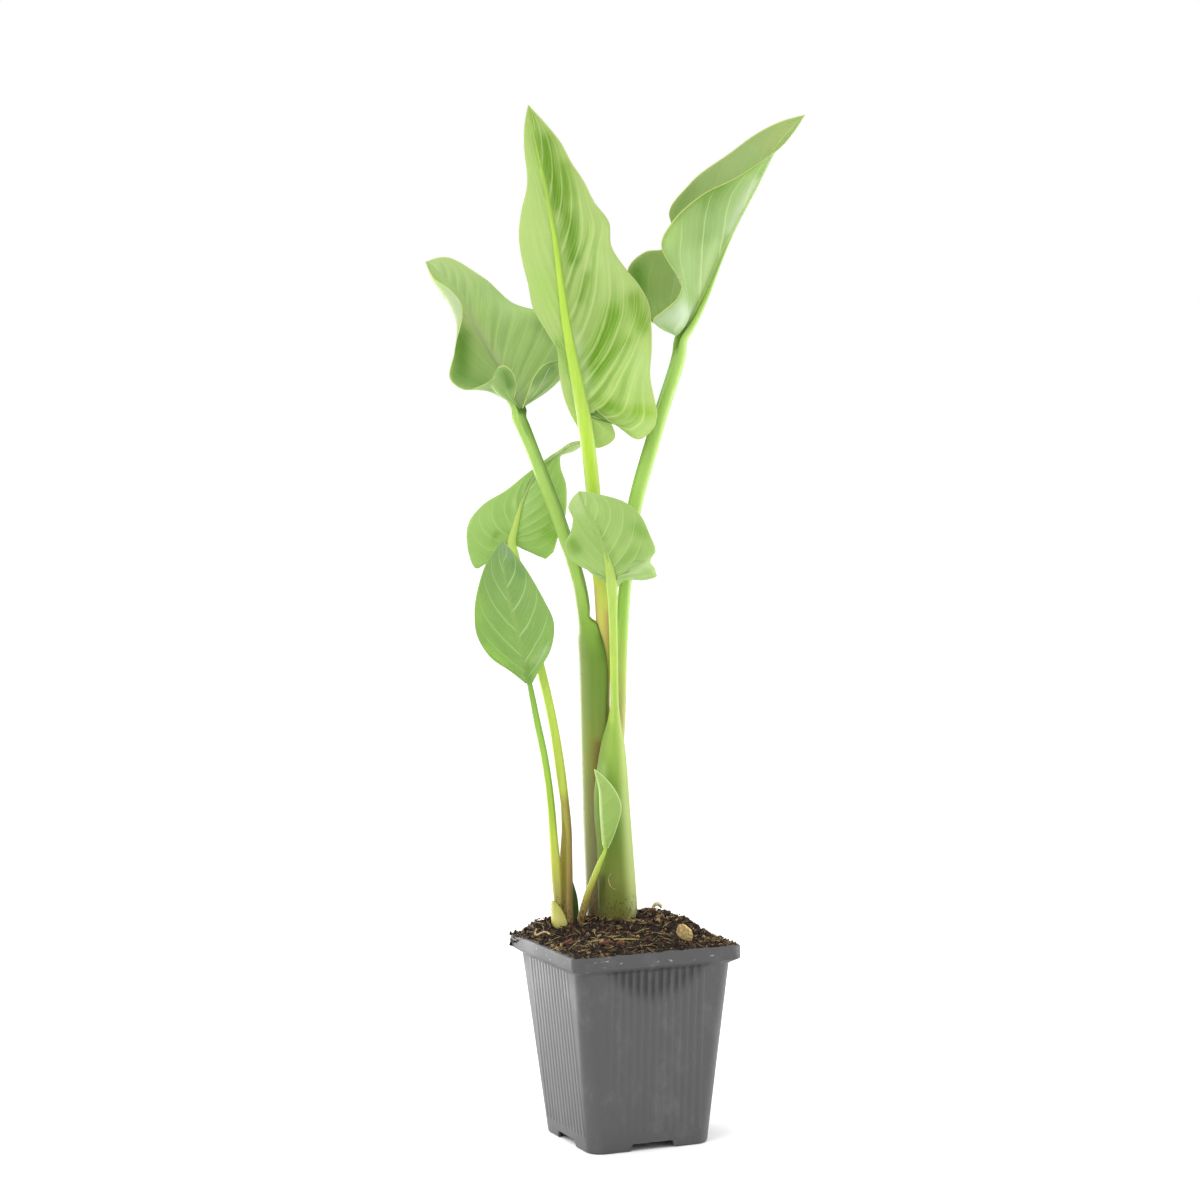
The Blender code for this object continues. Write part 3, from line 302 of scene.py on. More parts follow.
            "veins": 17, "bend": 0.13, "early": 0.05, "rib": 1.2, "quilt": (0.1, 0.25),
            "frills": [(-1, 4, 0.2, 0.4), (1, 5, 0.5, 0.4)],
            "keel": [
                (0, 1.8, 3.6, 4.6, 122, 0.8), (8, 1.9, 2.6, 5, 130, 0.5),
                (18, 1.6, 1.4, 2.1, 140, 0.1), (32, 1.2, 0.9, 1.4, 150, 0), (50, 0.8, 0.4, 0.7)]},
        "tone": {
            "under": [(0, 160, 192, 110), (1, 196, 218, 150)],
            "above": [(0, 168, 194, 120), (0.5, 174, 200, 128), (1, 184, 206, 146)],
            "rib": [(0, 166, 190, 124), (0.5, 178, 192, 142), (1, 172, 198, 132)],
            "deep_colour": (122, 158, 84), "vein_under": (206, 222, 160),
            "vein_above": (186, 212, 144), "border": (212, 224, 140), "deep": (0.1, 0.25),
            "deep_reach": (0.4, 1), "vein": (0.18, 0.6), "streaky": 0.4, "fine": 0.25,
            "gloss": 0.36, "through": 0.3,
            "painted_under": [
                (-55, 383, -53, 378, 3.5, 96, 138, 52, 0.85),
                (-62, 378, -66, 377, 3, 170, 198, 130, 0.8),
                (-82, 422, -80, 412, 6, 186, 202, 162, 0.85),
                (-32, 386, -40, 379, 3.5, 96, 136, 40, 0.85),
                (-34, 378, -42, 372, 2, 160, 180, 130, 0.7),
                (-46, 368, -44, 371, 2.5, 108, 144, 58, 0.6)],
            "painted_above": [
                (-77, 402, -77, 383, 4.5, 106, 150, 58, 0.85),
                (-80, 380, -67, 379, 4, 138, 174, 96, 0.7),
                (-74, 414, -60, 390, 4, 194, 202, 156, 0.55),
                (-64, 426, -55, 418, 6, 182, 208, 150, 0.6),
                (-88, 439, -76, 432, 5, 192, 210, 152, 0.6),
                (-36, 408, -31, 402, 4, 124, 156, 86, 0.7),
                (-48, 378, -49, 370, 3.5, 174, 194, 136, 0.7),
                (-66, 394, -60, 386, 4, 158, 194, 116, 0.5)]},
        "stalk": {
            "wall": (2.4, 0.6),
            "run": [
                (-12.5, 24, 92, 6.4, 5.6, 115, 1, 0), (-12.5, 24, 120, 6.5),
                (-12.6, 24, 150, 7.1, 5.8, 118), (-12.2, 24, 180, 7.9, 6, 120),
                (-11.6, 24, 215, 8.9, 6.2, 124), (-11.7, 24, 240, 9.1),
                (-13.9, 24, 252.5, 7.3, 5.4, 124, 0.95), (-14.7, 24, 256.4, 6.2, 4.8, 125, 0.8),
                (-16.7, 23.6, 258.3, 4.2, 4.2, 130, 0.45), (-17.4, 23.3, 264, 4, 3.9, 135, 0.3),
                (-18.3, 23, 270, 3.8, 3.7, 140, 0.2, -5),
                (-26.8, 21, 302, 3.6, 3.6, 140, 0.2, -10),
                (-36.8, 20.5, 330, 3.5, 3.5, 140, 0.25, -20),
                (-43.5, 20.8, 348, 3.4, 3.5, 135, 0.3, -30),
                (-47.1, 21.6, 357, 3.7, 3.7, 130, 0.4, -38),
                (-48.7, 22, 361, 3.8, 3.8, 130, 0.35, -39)],
            "turn": -40},
        "stalk_tone": {
            "stops": [
                (92, 110, 98, 66), (120, 128, 120, 82), (141, 136, 134, 90), (165, 132, 140, 72),
                (188, 132, 138, 56), (200, 130, 146, 58), (212, 120, 146, 60),
                (240, 114, 148, 52), (258, 140, 178, 72), (275, 166, 200, 98),
                (366, 168, 202, 104)],
            "left": (162, 174, 112, 0.6, 110, 285), "right": (90, 128, 38, 0.8, 195, 366),
            "groove": (112, 150, 66), "foot": (148, 124, 84, 128), "border": [(104, 120, 56, 0)],
            "painted": [
                (-12, 196, -11.5, 182, 2.4, 122, 92, 52, 0.75),
                (-14.5, 176, -14.2, 150, 2, 140, 128, 88, 0.6),
                (-9, 250, -7, 240, 2.2, 84, 120, 34, 0.8)]}},
    "back_leaf": {
        "slot": "soft_leaf", "face": (0.2, 1, 0.2),
        "rib": [
            (-53.5, 29, 298), (-51, 31, 309), (-47, 34, 322), (-42, 37, 332), (-35, 41, 339),
            (-26, 45, 344.5), (-14.5, 49, 348.5)],
        "left": [
            (0, -56.5, 28.5, 299), (0, -63, 27, 294), (0, -72, 25, 285.5), (0, -76, 25, 296),
            (0.03, -75, 26, 309), (0.09, -68.5, 28, 317), (0.21, -57, 31, 324),
            (0.42, -44, 35, 334), (0.66, -31, 41, 343), (0.86, -22.5, 47, 348)],
        "right": [
            (0, -50.5, 30, 296), (0, -42, 31, 292), (0, -36.5, 32, 289.5), (0.03, -29.6, 34, 302),
            (0.1, -25.8, 37, 315), (0.24, -26, 39, 326.5), (0.42, -28.6, 42, 337),
            (0.6, -28.5, 44, 341), (0.82, -21.5, 47, 343.5)],
        "style": {
            "veins": 11, "bend": 0.18, "early": 0.4, "rib": 0.9, "quilt": (0.25, 0.25),
            "frills": [(-1, 5, 0.2, 0.3), (1, 5, 0.6, 0.3)],
            "keel": [
                (0, 2.1, 1.6, 2.2, 150, 0), (6, 1.4, 1.2, 1.8), (14, 1, 0.8, 1.3),
                (24, 0.8, 0.5, 0.8), (34, 0.6, 0.3, 0.4)]},
        "tone": {
            "under": [(0, 168, 200, 118), (0.6, 172, 202, 124), (1, 214, 224, 186)],
            "above": [(0, 138, 170, 100), (1, 150, 180, 110)],
            "rib": [(0, 172, 206, 110), (0.3, 190, 214, 140), (1, 196, 214, 150)],
            "deep_colour": (144, 182, 92), "vein_under": (202, 222, 158),
            "vein_above": (180, 204, 144), "border": (182, 208, 132), "deep": (0.3, 0.3),
            "deep_reach": (0.4, 1), "vein": (0.35, 0.45), "streaky": 0.6, "fine": 0.4,
            "width": 0.12,
            "painted_under": [
                (-48, 317, -43, 326, 4, 176, 208, 136, 0.7),
                (-53, 306, -51.5, 318, 2, 188, 216, 146, 0.7),
                (-62.5, 301, -61, 303, 1.5, 120, 150, 66, 0.6),
                (-35.5, 303, -31.5, 300, 3.5, 136, 176, 68, 0.8),
                (-33, 309, -30, 314, 3, 140, 178, 76, 0.6),
                (-26.5, 345.5, -19, 347.5, 4, 216, 226, 192, 0.9)]},
        "stalk": {
            "wall": (1.4, 0.5),
            "run": [
                (-29.8, 13.5, 92, 4.6, 4.9, 100, 1, 200), (-29.9, 13.5, 118, 4.5, 4.8),
                (-29.5, 13.5, 140, 4.1, 4.3), (-28.9, 13.6, 153, 3.4, 3.6, 105, 0.9, 195),
                (-29.3, 14, 168, 2.6, 2.6, 130, 0.3, 180),
                (-31.1, 14.5, 186, 2.5, 2.5, 140, 0.1, 150),
                (-33.9, 15.5, 206, 2.3, 2.3, 140, 0.1, 120),
                (-39.5, 18, 233, 2.2, 2.3, 140, 0.1, 90),
                (-47.4, 21.5, 264.5, 2.1, 2.2, 140, 0.1, 80),
                (-52.4, 25.3, 292, 1.9, 2.4, 140, 0.1, 75)]},
        "stalk_tone": {
            "stops": [
                (92, 146, 134, 74), (118, 164, 154, 82), (140, 170, 164, 80), (158, 168, 164, 78),
                (167, 164, 160, 74), (174, 190, 204, 86), (215, 188, 212, 92),
                (298, 184, 210, 104)],
            "left": (184, 182, 92, 0.8, 92, 160), "right": (156, 112, 84, 0.55, 92, 152),
            "foot": (148, 124, 84, 128), "border": [(140, 104, 70, 0)]}},
    "front_leaf": {
        "slot": "bright_leaf", "face": (0.1, 1, 0.2),
        "rib": [
            (-3.5, 9, 279), (-6, 4, 292), (-9, 1, 301), (-12, -1, 309), (-16, -2, 316),
            (-19, -1, 324.5)],
        "left": [
            (0, -5.9, 9.2, 277.8), (0, -11.2, 5.5, 281.9), (0, -18, 2, 287),
            (0.02, -24.5, 0, 291.5), (0.1, -26.5, -1, 297), (0.3, -23.5, 0, 305),
            (0.5, -22.5, 1, 311), (0.7, -24.5, 1, 316.5), (0.87, -22.5, 0, 321)],
        "right": [
            (0, -0.9, 11.7, 275.2, -2.2, 10.2, 277.2), (0, 1.2, 12, 278.2, -0.4, 9.2, 279),
            (0, 5.4, 12.8, 279.6, 2.4, 7.8, 280.2), (0, 12.5, 15, 278.6, 7, 6, 282.2),
            (0, 18.9, 14, 281, 10.5, 5.5, 284.5), (0.02, 16, 8.5, 288.3, 9.5, 4, 289),
            (0.07, 18.5, 4, 294.5), (0.16, 16, 2, 302), (0.36, 11, 1, 312.5), (0.57, 3.2, 0, 319),
            (0.8, -8, -1, 322.5), (0.92, -14.5, -1, 324)],
        "style": {
            "veins": 10, "bend": 0.2, "early": 0.5, "rib": 1, "quilt": (0.25, 0.4),
            "frills": [(-1, 4, 0.1, 0.3), (1, 5, 0.4, 0.4)],
            "keel": [
                (0, 2, 1.8, 2.7, 150, 0), (6, 1.4, 1.2, 2.5), (12, 0.9, 0.7, 1.7),
                (19, 0.6, 0.4, 0.8), (26, 0.4, 0.2, 0.4)]},
        "tone": {
            "under": [(0, 178, 208, 126), (0.5, 172, 202, 116), (1, 182, 208, 132)],
            "above": [(0, 146, 178, 100), (1, 150, 180, 108)],
            "rib": [
                (0, 190, 218, 132), (0.3, 186, 214, 122), (0.6, 172, 204, 116),
                (1, 172, 202, 116)],
            "deep_colour": (144, 184, 84), "vein_under": (206, 226, 158),
            "vein_above": (180, 204, 144), "border": (192, 214, 146), "deep": (0.15, 0.35),
            "deep_reach": (0.4, 1), "vein": (0.2, 0.5), "streaky": 0.6,
            "painted_under": [
                (-22.5, 298.5, -21, 296, 3.6, 122, 162, 58, 0.8),
                (-10, 306, -6.8, 300, 1.6, 148, 182, 92, 0.6),
                (9, 306, 12, 303, 3.4, 134, 178, 72, 0.75),
                (3, 290, 9, 294, 3, 146, 186, 84, 0.6),
                (-21, 321, -19, 316, 3.5, 198, 216, 154, 0.7),
                (6, 282.5, 14, 287, 2.2, 200, 220, 166, 0.8),
                (-3.5, 284, -2.5, 278.5, 3.6, 190, 216, 142, 0.7),
                (-4, 295, -2, 287, 1.8, 152, 186, 96, 0.6)]},
        "stalk": {
            "wall": (1.9, 0.35),
            "run": [
                (-3.9, 22, 92, 11, 11, 114, 1, 150), (-3.9, 22, 110),
                (-4.6, 21, 143, 9.7, 10.4, 116, 1, 148), (-5.6, 20, 169, 8.9, 9.9, 112, 1, 138),
                (-5, 19, 184, 7.4, 8, 88, 1, 112), (-4.2, 18, 197, 5.4, 6, 78, 1, 95),
                (-3.4, 15.6, 207, 3.2, 3.6, 95, 0.7, 90), (-3, 14, 215, 2.2, 2.3, 130, 0.25),
                (-3, 13.6, 224, 2.1, 2.1, 140, 0.15), (-3, 12.9, 237),
                (-3.1, 10.8, 259, 2.1, 2.2)]},
        "stalk_tone": {
            "stops": [
                (92, 84, 84, 34), (106, 92, 98, 34), (116, 108, 118, 40), (128, 122, 136, 56),
                (141, 116, 138, 50), (153, 114, 144, 50), (176, 128, 162, 60),
                (188, 144, 178, 76), (212, 164, 196, 86), (236, 178, 206, 92),
                (280, 182, 210, 104)],
            "left": (126, 150, 72, 0.6, 122, 205), "right": (190, 206, 116, 0.6, 88, 200),
            "foot": (116, 116, 50, 128), "border": [(104, 116, 54, 0), (176, 196, 108, 182)],
            "painted": [
                (-4.5, 240, -4.5, 208, 1.4, 196, 222, 96, 0.6),
                (-11, 128, -11, 108, 3, 70, 70, 30, 0.7),
                (-9, 186, -10, 176, 1.6, 170, 196, 124, 0.6)]}},
    "small_leaf": {
        "slot": "silver_leaf", "face": (-0.1, -1, 0.2),
        "rib": [
            (-45.5, 7, 228), (-48, 5, 240), (-51.5, 4, 257), (-55, 4.5, 271), (-57, 6, 284),
            (-58, 10, 300.5)],
        "left": [
            (0, -47.5, 7, 228.5), (0.03, -56, 4, 236), (0.08, -65.5, 2, 243.5),
            (0.17, -71, 1, 253), (0.33, -72, 2, 265), (0.54, -70, 4, 278), (0.73, -66, 6, 289),
            (0.89, -61.5, 8.5, 296)],
        "right": [
            (0, -44, 7, 228.5), (0.04, -39.5, 5, 237), (0.11, -34.5, 4, 245.5),
            (0.31, -33, 3, 260), (0.47, -37, 3.5, 269.5), (0.66, -43.5, 5.5, 281.5),
            (0.86, -50.5, 8, 292)],
        "style": {
            "veins": 7, "bend": 0.22, "early": 0.5, "rib": 1.1, "quilt": (0.3, 0.3),
            "frills": [(-1, 3, 0.1, 0.25), (1, 3, 0.4, 0.25)],
            "keel": [
                (0, 1.4, 1, 1.3, 150, 0), (8, 1.2, 0.8, 1), (20, 1, 0.5, 0.7),
                (35, 0.8, 0.3, 0.4)]},
        "tone": {
            "under": [(0, 168, 196, 124), (1, 176, 200, 132)],
            "above": [(0, 134, 172, 84), (0.5, 132, 168, 88), (1, 124, 156, 92)],
            "rib": [(0, 122, 160, 66), (0.3, 146, 178, 92), (1, 142, 172, 92)],
            "deep_colour": (112, 150, 78), "vein_under": (196, 214, 150),
            "vein_above": (176, 204, 142), "border": (150, 184, 96), "deep": (0.25, 0.25),
            "vein": (0.5, 0.7), "streaky": 0.8, "fine": 0.12, "through": 0.25,
            "painted_above": [
                (-57, 297, -55, 293, 2.8, 132, 160, 122, 0.8),
                (-52, 288, -48, 283, 3, 108, 148, 80, 0.8),
                (-66, 247, -58, 239, 2.6, 148, 190, 82, 0.7),
                (-69.5, 262, -70.5, 272, 2.2, 146, 182, 84, 0.7),
                (-46.5, 236, -45.8, 231, 1.8, 100, 146, 50, 0.85),
                (-42, 240, -37, 246, 2, 168, 196, 134, 0.6)]},
        "stalk": {
            "wall": (1.6, 1),
            "run": [
                (-32.8, 11.5, 92, 2.2, 2.2, 150, 0.1, 270), (-32.9, 11.5, 118),
                (-33.3, 11.4, 127, 2.6, 2.6), (-34.6, 11, 148, 2.2, 2.2),
                (-35.9, 10.3, 169, 1.9, 1.9), (-38.4, 8.8, 190, 1.8, 1.8),
                (-42.2, 8.2, 210, 1.7, 1.7)]},
        "stalk_tone": {
            "stops": [
                (92, 164, 154, 84), (122, 178, 174, 92), (140, 190, 198, 84), (150, 186, 204, 80),
                (165, 168, 196, 68), (200, 156, 196, 82), (228, 132, 172, 74)],
            "right": (110, 150, 50, 0.6, 145, 228), "foot": (148, 124, 84, 128)}},
    "young_leaf": {
        "slot": "bright_leaf", "face": (0.3, 0.9, 0.2),
        "rib": [
            (-8.5, 6, 144.5), (-9.3, 5, 152), (-10.2, 4.2, 164), (-10.8, 4.2, 175),
            (-13.5, 5, 185)],
        "left": [
            (0, -7.6, 7.2, 145), (0.2, -5.2, 7.6, 155), (0.5, -4.2, 7.4, 167),
            (0.76, -8, 6.6, 176.5), (0.93, -11.5, 5.6, 182)],
        "right": [
            (0, -7.2, 5.2, 145), (0.16, -3.2, 3, 154.5), (0.46, -0.5, 2, 168),
            (0.72, -4.5, 2.6, 176.5), (0.92, -9.6, 4, 182)],
        "style": {
            "veins": 5, "bend": 0.1, "early": 0.3, "rib": 0.7, "quilt": (0.1, 0.1),
            "keel": [(0, 0.8, 0.6, 0.8, 150, 0), (8, 0.7, 0.4, 0.6), (18, 0.6, 0.3, 0.4)]},
        "tone": {
            "under": [(0, 160, 192, 96), (1, 172, 198, 116)],
            "above": [(0, 146, 182, 84), (1, 150, 182, 98)],
            "rib": [(0, 196, 220, 132), (0.5, 210, 230, 168), (1, 204, 224, 162)],
            "deep_colour": (130, 168, 78), "vein_under": (196, 214, 146),
            "vein_above": (180, 204, 134), "border": (218, 232, 180), "deep": (0.1, 0.1),
            "vein": (0.2, 0.2), "streaky": 0.4},
        "stalk": {
            "wall": (1.2, 0.8),
            "run": [
                (-22.6, 15.6, 92, 2.3, 2.3, 150, 0.1, 90), (-21.4, 14.6, 107, 2.1, 2.1),
                (-18.4, 11, 119.5, 1.8, 1.8), (-15, 7.8, 129, 1.5, 1.5),
                (-11.4, 6, 138, 1.3, 1.3)]},
        "stalk_tone": {
            "stops": [
                (92, 146, 120, 82), (108, 168, 142, 88), (120, 188, 180, 86), (131, 190, 206, 88),
                (145, 176, 208, 88)],
            "right": (150, 140, 60, 0.5, 95, 135), "foot": (148, 124, 84, 128)}}}
SIDE_SHOOT = {
    "wall": (1, 0.6),
    "run": [
        (-24.6, 21.4, 92, 2.2, 2.2, 150, 0, 90), (-24.6, 21.4, 108, 2.1, 2.1),
        (-24.8, 21, 118, 1.5, 1.5), (-25.6, 20.4, 124, 0.8, 0.8), (-26, 20, 127, 0.3, 0.3)]}
SHOOT_TONE = {
    "stops": [(92, 120, 120, 70), (112, 86, 122, 54), (127, 70, 112, 48)],
    "foot": (148, 124, 84, 108)}
BASAL_SCALE = {
    "wall": (0.7, 0.4),
    "run": [
        (-30.6, 13, 96, 6.2, 6.2, 48, 1, 64), (-30.6, 13, 108, 6.2, 6.2, 46, 1, 62),
        (-30.6, 13, 112, 6.2, 6.2, 40, 1, 55), (-30.6, 13, 115, 6.2, 6.2, 31, 1, 47),
        (-30.6, 13, 117, 6.1, 6.1, 21, 1, 39), (-30.6, 13, 118, 6.1, 6.1, 13, 1, 32)]}
SCALE_TONE = {
    "stops": [
        (96, 158, 146, 80), (103, 184, 176, 94), (109, 206, 202, 116), (114, 188, 188, 98),
        (118, 174, 176, 84)],
    "foot": (148, 124, 84, 108)}


# ---------------------------------------------------------------- meshes
def put(name, points, faces, look, closed=True, smooth_shade=True):
    """A piece at the origin, from points in metres; the faces of a closed one turn outwards."""
    mesh = bpy.data.meshes.new(name)
    mesh.from_pydata(np.asarray(points).tolist(), [], [list(map(int, f)) for f in faces])
    mesh.materials.append(look)
    mesh.update()
    if smooth_shade:
        mesh.shade_smooth()
    if closed:
        turn_out(mesh)
    return show(name, mesh)


def show(name, data):
    """A new object in the scene."""
    made = bpy.data.objects.new(name, data)
    bpy.context.scene.collection.objects.link(made)
    return made


def turn_out(mesh):
    """Turns the faces of a closed mesh outwards."""
    work = bmesh.new()
    work.from_mesh(mesh)
    bmesh.ops.recalc_face_normals(work, faces=work.faces)
    work.to_mesh(mesh)
    work.free()


def mark(piece, **layers):
    """Numbers or colours on the points of a piece, for its material to read."""
    for name, values in layers.items():
        values = np.asarray(values, np.float32)
        kind, key = ("FLOAT", "value") if values.ndim == 1 else ("FLOAT_VECTOR", "vector")
        layer = piece.data.attributes.new(name, kind, "POINT")
        layer.data.foreach_set(key, values.ravel())


def paint(points, strokes):
    """Share and colour of soft brush strokes laid on a sheet as seen from in front; on the blades
    they carry painted light and shade as well as the leaf's own colour.
    """
    seen = points[:, [0, 2]]
    bare = np.ones(len(points))
    total = np.zeros((len(points), 3))
    weight = np.full(len(points), 1e-9)
    for stroke in strokes:
        start, end = np.array(stroke[:2]), np.array(stroke[2:4])
        radius, strength = stroke[4], stroke[8]
        way = end - start
        t = np.clip((seen - start) @ way / max(way @ way, 1e-9), 0, 1)
        far = np.linalg.norm(seen - start - t[:, None] * way, axis=1)
        share = strength * np.exp(-(far / radius) ** 2)
        total += share[:, None] * np.array(rgb(*stroke[5:8])[:3])
        weight += share
        bare *= 1 - share
    return 1 - bare, total / weight[:, None]


def add_uv(piece, across, along):
    """The piece's own UV map, from two numbers on each point."""
    layer = piece.data.uv_layers.new(name="surface")
    corners = np.zeros(len(piece.data.loops), np.int32)
    piece.data.loops.foreach_get("vertex_index", corners)
    pair = np.stack([np.asarray(across), np.asarray(along)], axis=1)[corners]
    layer.data.foreach_set("uv", pair.astype(np.float32).ravel())


def finish(piece, slot, *nodes):
    """Seats a finished piece on the body and lets it stand for its nodes of the frame."""
    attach(piece, "root")
    if nodes:
        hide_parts(*nodes)


def loft(rings):
    """Points and faces of a capped loft through rings of equal length."""
    size = len(rings[0])
    points = np.vstack(rings)
    k = np.arange(size)
    faces = []
    for r in range(len(rings) - 1):
        near, far = r * size, (r + 1) * size
        faces += list(zip(near + k, near + (k + 1) % size, far + (k + 1) % size, far + k))
    faces += [tuple(range(size))[::-1], tuple(range(len(points) - size, len(points)))]
    return points, faces


def grid_quads(cells):
    """The four-cornered faces between the neighbours of a grid of point numbers."""
    return np.stack([cells[:-1, :-1], cells[:-1, 1:], cells[1:, 1:], cells[1:, :-1]],
                    axis=2).reshape(-1, 4)


def point_normals(points, quads):
    """Normals of an open sheet, averaged at its points."""
    total = np.zeros_like(points)
    a, b, c, d = (points[quads[:, k]] for k in range(4))
    normal = np.cross(c - a, d - b)
    for k in range(4):
        np.add.at(total, quads[:, k], normal)
    return unit(total)


# ---------------------------------------------------------------- blades
BODY_ROWS = 150
LOBE_ROWS = 46
COLUMNS = 26
CROWDING = 1.45
BLADE = 0.5
RIB_DEPTH = 1.25
VEIN_RISE = 0.16
RIB_GROOVE = 0.25
THINNEST = 0.2
RIB_TIP = 0.15
SHALLOW_CUP = (0.06, 0.06)
HEADING_STEP = 0.02
MARGIN_POINTS = 4001


def half_sheet(leaf, side, lobes):
    """Belly and margin points of one half, and how far along the margin each row ends: first
    round the lobe, then up the rib."""
    rib = np.array(leaf["rib"], float)
    rib_knots = chord_knots(rib)
    stations = [*leaf[side], (1, *leaf["rib"][-1])]
    start = np.array([s[0] for s in stations])
    margin = np.array([s[1:4] for s in stations], float)
    foot = smooth(rib_knots, rib, start)
    along = unit(smooth(rib_knots, rib, start + HEADING_STEP)
                 - smooth(rib_knots, rib, start - HEADING_STEP))
    across = margin - foot
    up = np.cross(along, across)
    up *= np.where(up @ np.array(leaf["face"]) < 0, -1, 1)[:, None]
    cup = leaf.get("cup", SHALLOW_CUP)[side == "right"]
    belly = (foot + margin) / 2 - cup * np.linalg.norm(across, axis=1, keepdims=True) * unit(up)
    for k, station in enumerate(stations):
        if len(station) > 4:
            belly[k] = station[4:]
    knots = chord_knots(margin)
    dense = np.linspace(0, 1, MARGIN_POINTS)
    climb = np.maximum.accumulate(smooth(knots, start, dense, limited=True)[:, 0])
    lobe_end = knots[np.nonzero(start <= 0)[0][-1]]
    body = np.interp(np.linspace(0, 1, BODY_ROWS + 1)[1:], climb, dense)
    lobe = np.linspace(0, lobe_end, lobes + 1) if lobe_end > 0 else np.array([0.0])
    at = np.concatenate([lobe, body])
    return smooth(knots, belly, at), smooth(knots, margin, at), at


def make_blade(name, leaf, look):
    """A leaf blade as a closed skin: two curved halves on one rib, the veins pressed into the
    upper side and raised beneath, the rib standing out beneath, and waves along the margin."""
    style = leaf["style"]
    rib = np.array(leaf["rib"], float)
    rib_u = np.linspace(0, 1, BODY_ROWS + 1)
    feet = smooth(chord_knots(rib), rib, rib_u)
    heading = unit(np.gradient(feet, axis=0))
    t = (np.arange(1, COLUMNS + 1) / COLUMNS) ** CROWDING
    points, quads = [feet], []
    none = np.zeros(BODY_ROWS + 1)
    u, v, half, climb = [rib_u], [none], [none], [rib_u]
    rib_gap, edge_gap = [none], [40 * (1 - rib_u)]
    loops = {}
    count = len(feet)
    for side, sign in (("left", -1.0), ("right", 1.0)):
        lobes = LOBE_ROWS if sum(s[0] == 0 for s in leaf[side]) > 1 else 0
        belly, margin, at = half_sheet(leaf, side, lobes)
        rows = lobes + BODY_ROWS
        foot = np.maximum(0, np.arange(rows) - lobes)
        base = feet[foot][:, None]
        tt = t[None, :, None]
        sheet = (base * (2 * tt * tt - 3 * tt + 1) + belly[:rows, None] * (4 * tt - 4 * tt * tt)
                 + margin[:rows, None] * (2 * tt * tt - tt))
        out = sheet - base
        far = np.linalg.norm(out, axis=2)
        square = np.linalg.norm(np.cross(out, heading[foot][:, None]), axis=2)
        on_rib = ease(0, 6, foot.astype(float))[:, None]
        index = count + np.arange(rows * COLUMNS).reshape(rows, COLUMNS)
        index = np.hstack([foot[:, None], index])
        tip = np.full(COLUMNS, BODY_ROWS)
        cells = [grid_quads(index), np.stack([index[-1, :-1], index[-1, 1:], tip, tip], axis=1)]
        quads += [q[:, ::-1] for q in cells] if side == "left" else cells
        points.append(sheet.reshape(-1, 3))
        u.append(np.repeat(at[:rows], COLUMNS))
        v.append(np.tile(t, rows))
        half.append(np.full(rows * COLUMNS, sign))
        climb.append(np.repeat(foot / BODY_ROWS, COLUMNS))
        rib_gap.append((far * (1 - on_rib) + square * on_rib).ravel())
        edge_gap.append(np.linalg.norm(margin[:rows, None] - sheet, axis=2).ravel())
        loops[side] = list(index[0, 1:]) + list(index[1:, -1])
        count += rows * COLUMNS
    points, quads = np.vstack(points), np.vstack(quads)
    u, v, half, climb, rib_gap, edge_gap = map(
        np.concatenate, (u, v, half, climb, rib_gap, edge_gap))

    normal = point_normals(points, quads)
    if (normal @ np.array(leaf["face"], float)).sum() < 0:
        normal, quads = -normal, quads[:, ::-1]
    lean = style["bend"] * ease(0, 0.3, u) * v * (style["early"] + (1 - style["early"]) * v * v)
    swell = 0.5 - 0.5 * np.cos(2 * math.pi * ((u - lean) * style["veins"]))
    inner = ease(0.02, 0.16, v) * (1 - ease(0.55, 1.0, v)) * (1 - climb) ** 0.5
    lift = np.where(half < 0, *style["quilt"]) * inner * (swell - 0.5)
    for sign, centre, spread, height in style.get("waves", ()):
        lift = lift + (half == sign) * height * v**2.2 * np.exp(-((u - centre) / spread) ** 2)
    for sign, cycles, start, height in style.get("frills", ()):
        reach = ease(0.45, 1.0, v) * ease(0.02, 0.12, u) * (1 - ease(0.8, 0.98, u))
        lift = lift + (half == sign) * height * reach * np.sin(2 * math.pi * (cycles * u + start))
    points = points + normal * lift[:, None]
    normal = point_normals(points, quads)
    rib_size = style["rib"] * (1 - climb) ** 0.75 * (0.25 + 0.75 * ease(0, 0.07, climb)) + RIB_TIP
    ridge = np.sqrt(np.maximum(0, rib_size**2 - np.minimum(rib_gap, rib_size) ** 2))
    thick = (BLADE * (0.55 + 0.45 * ease(0, 3, edge_gap)) + RIB_DEPTH * ridge
             + VEIN_RISE * (1 - swell) ** 6 * inner)
    groove = RIB_GROOVE * rib_size * np.exp(-(rib_gap / (0.8 * rib_size)) ** 2)
    upper = points - normal * groove[:, None]
    lower = points - normal * np.maximum(thick, groove + THINNEST)[:, None]

    ring = [0] + loops["left"] + [BODY_ROWS] + loops["right"][::-1]
    size = len(points)
    faces = [list(dict.fromkeys(q)) for q in quads.tolist()]
    faces += [[k + size for k in f[::-1]] for f in faces]
    faces += [[a, b, b + size, a + size] for a, b in zip(ring, ring[1:] + ring[:1])]
    piece = put(name + "_surface", to_row(np.vstack([upper, lower])), faces, look)
    add_uv(piece, np.tile(u, 2), np.tile(0.5 + 0.5 * half * v, 2))
    # The strokes lay painted light and shade, such as shaded curls and pale sheen, along with the
    # leaf's own colour.
    above, beneath = (paint(side, leaf["tone"].get(key, ()))
                      for side, key in ((upper, "painted_above"), (lower, "painted_under")))
    mark(piece, climb=np.tile(climb, 2), rib=np.tile(rib_gap / rib_size, 2),
         edge=np.tile(edge_gap, 2), upper=np.repeat([1.0, 0.0], size),
         painted=np.concatenate([above[0], beneath[0]]), paint=np.vstack([above[1], beneath[1]]))
    finish(piece, leaf["slot"], name)


# ---------------------------------------------------------------- stalks
RING_OUTER = 30
RING_INNER = 16
RING_PITCH = 2.2
FEWEST_RINGS = 24


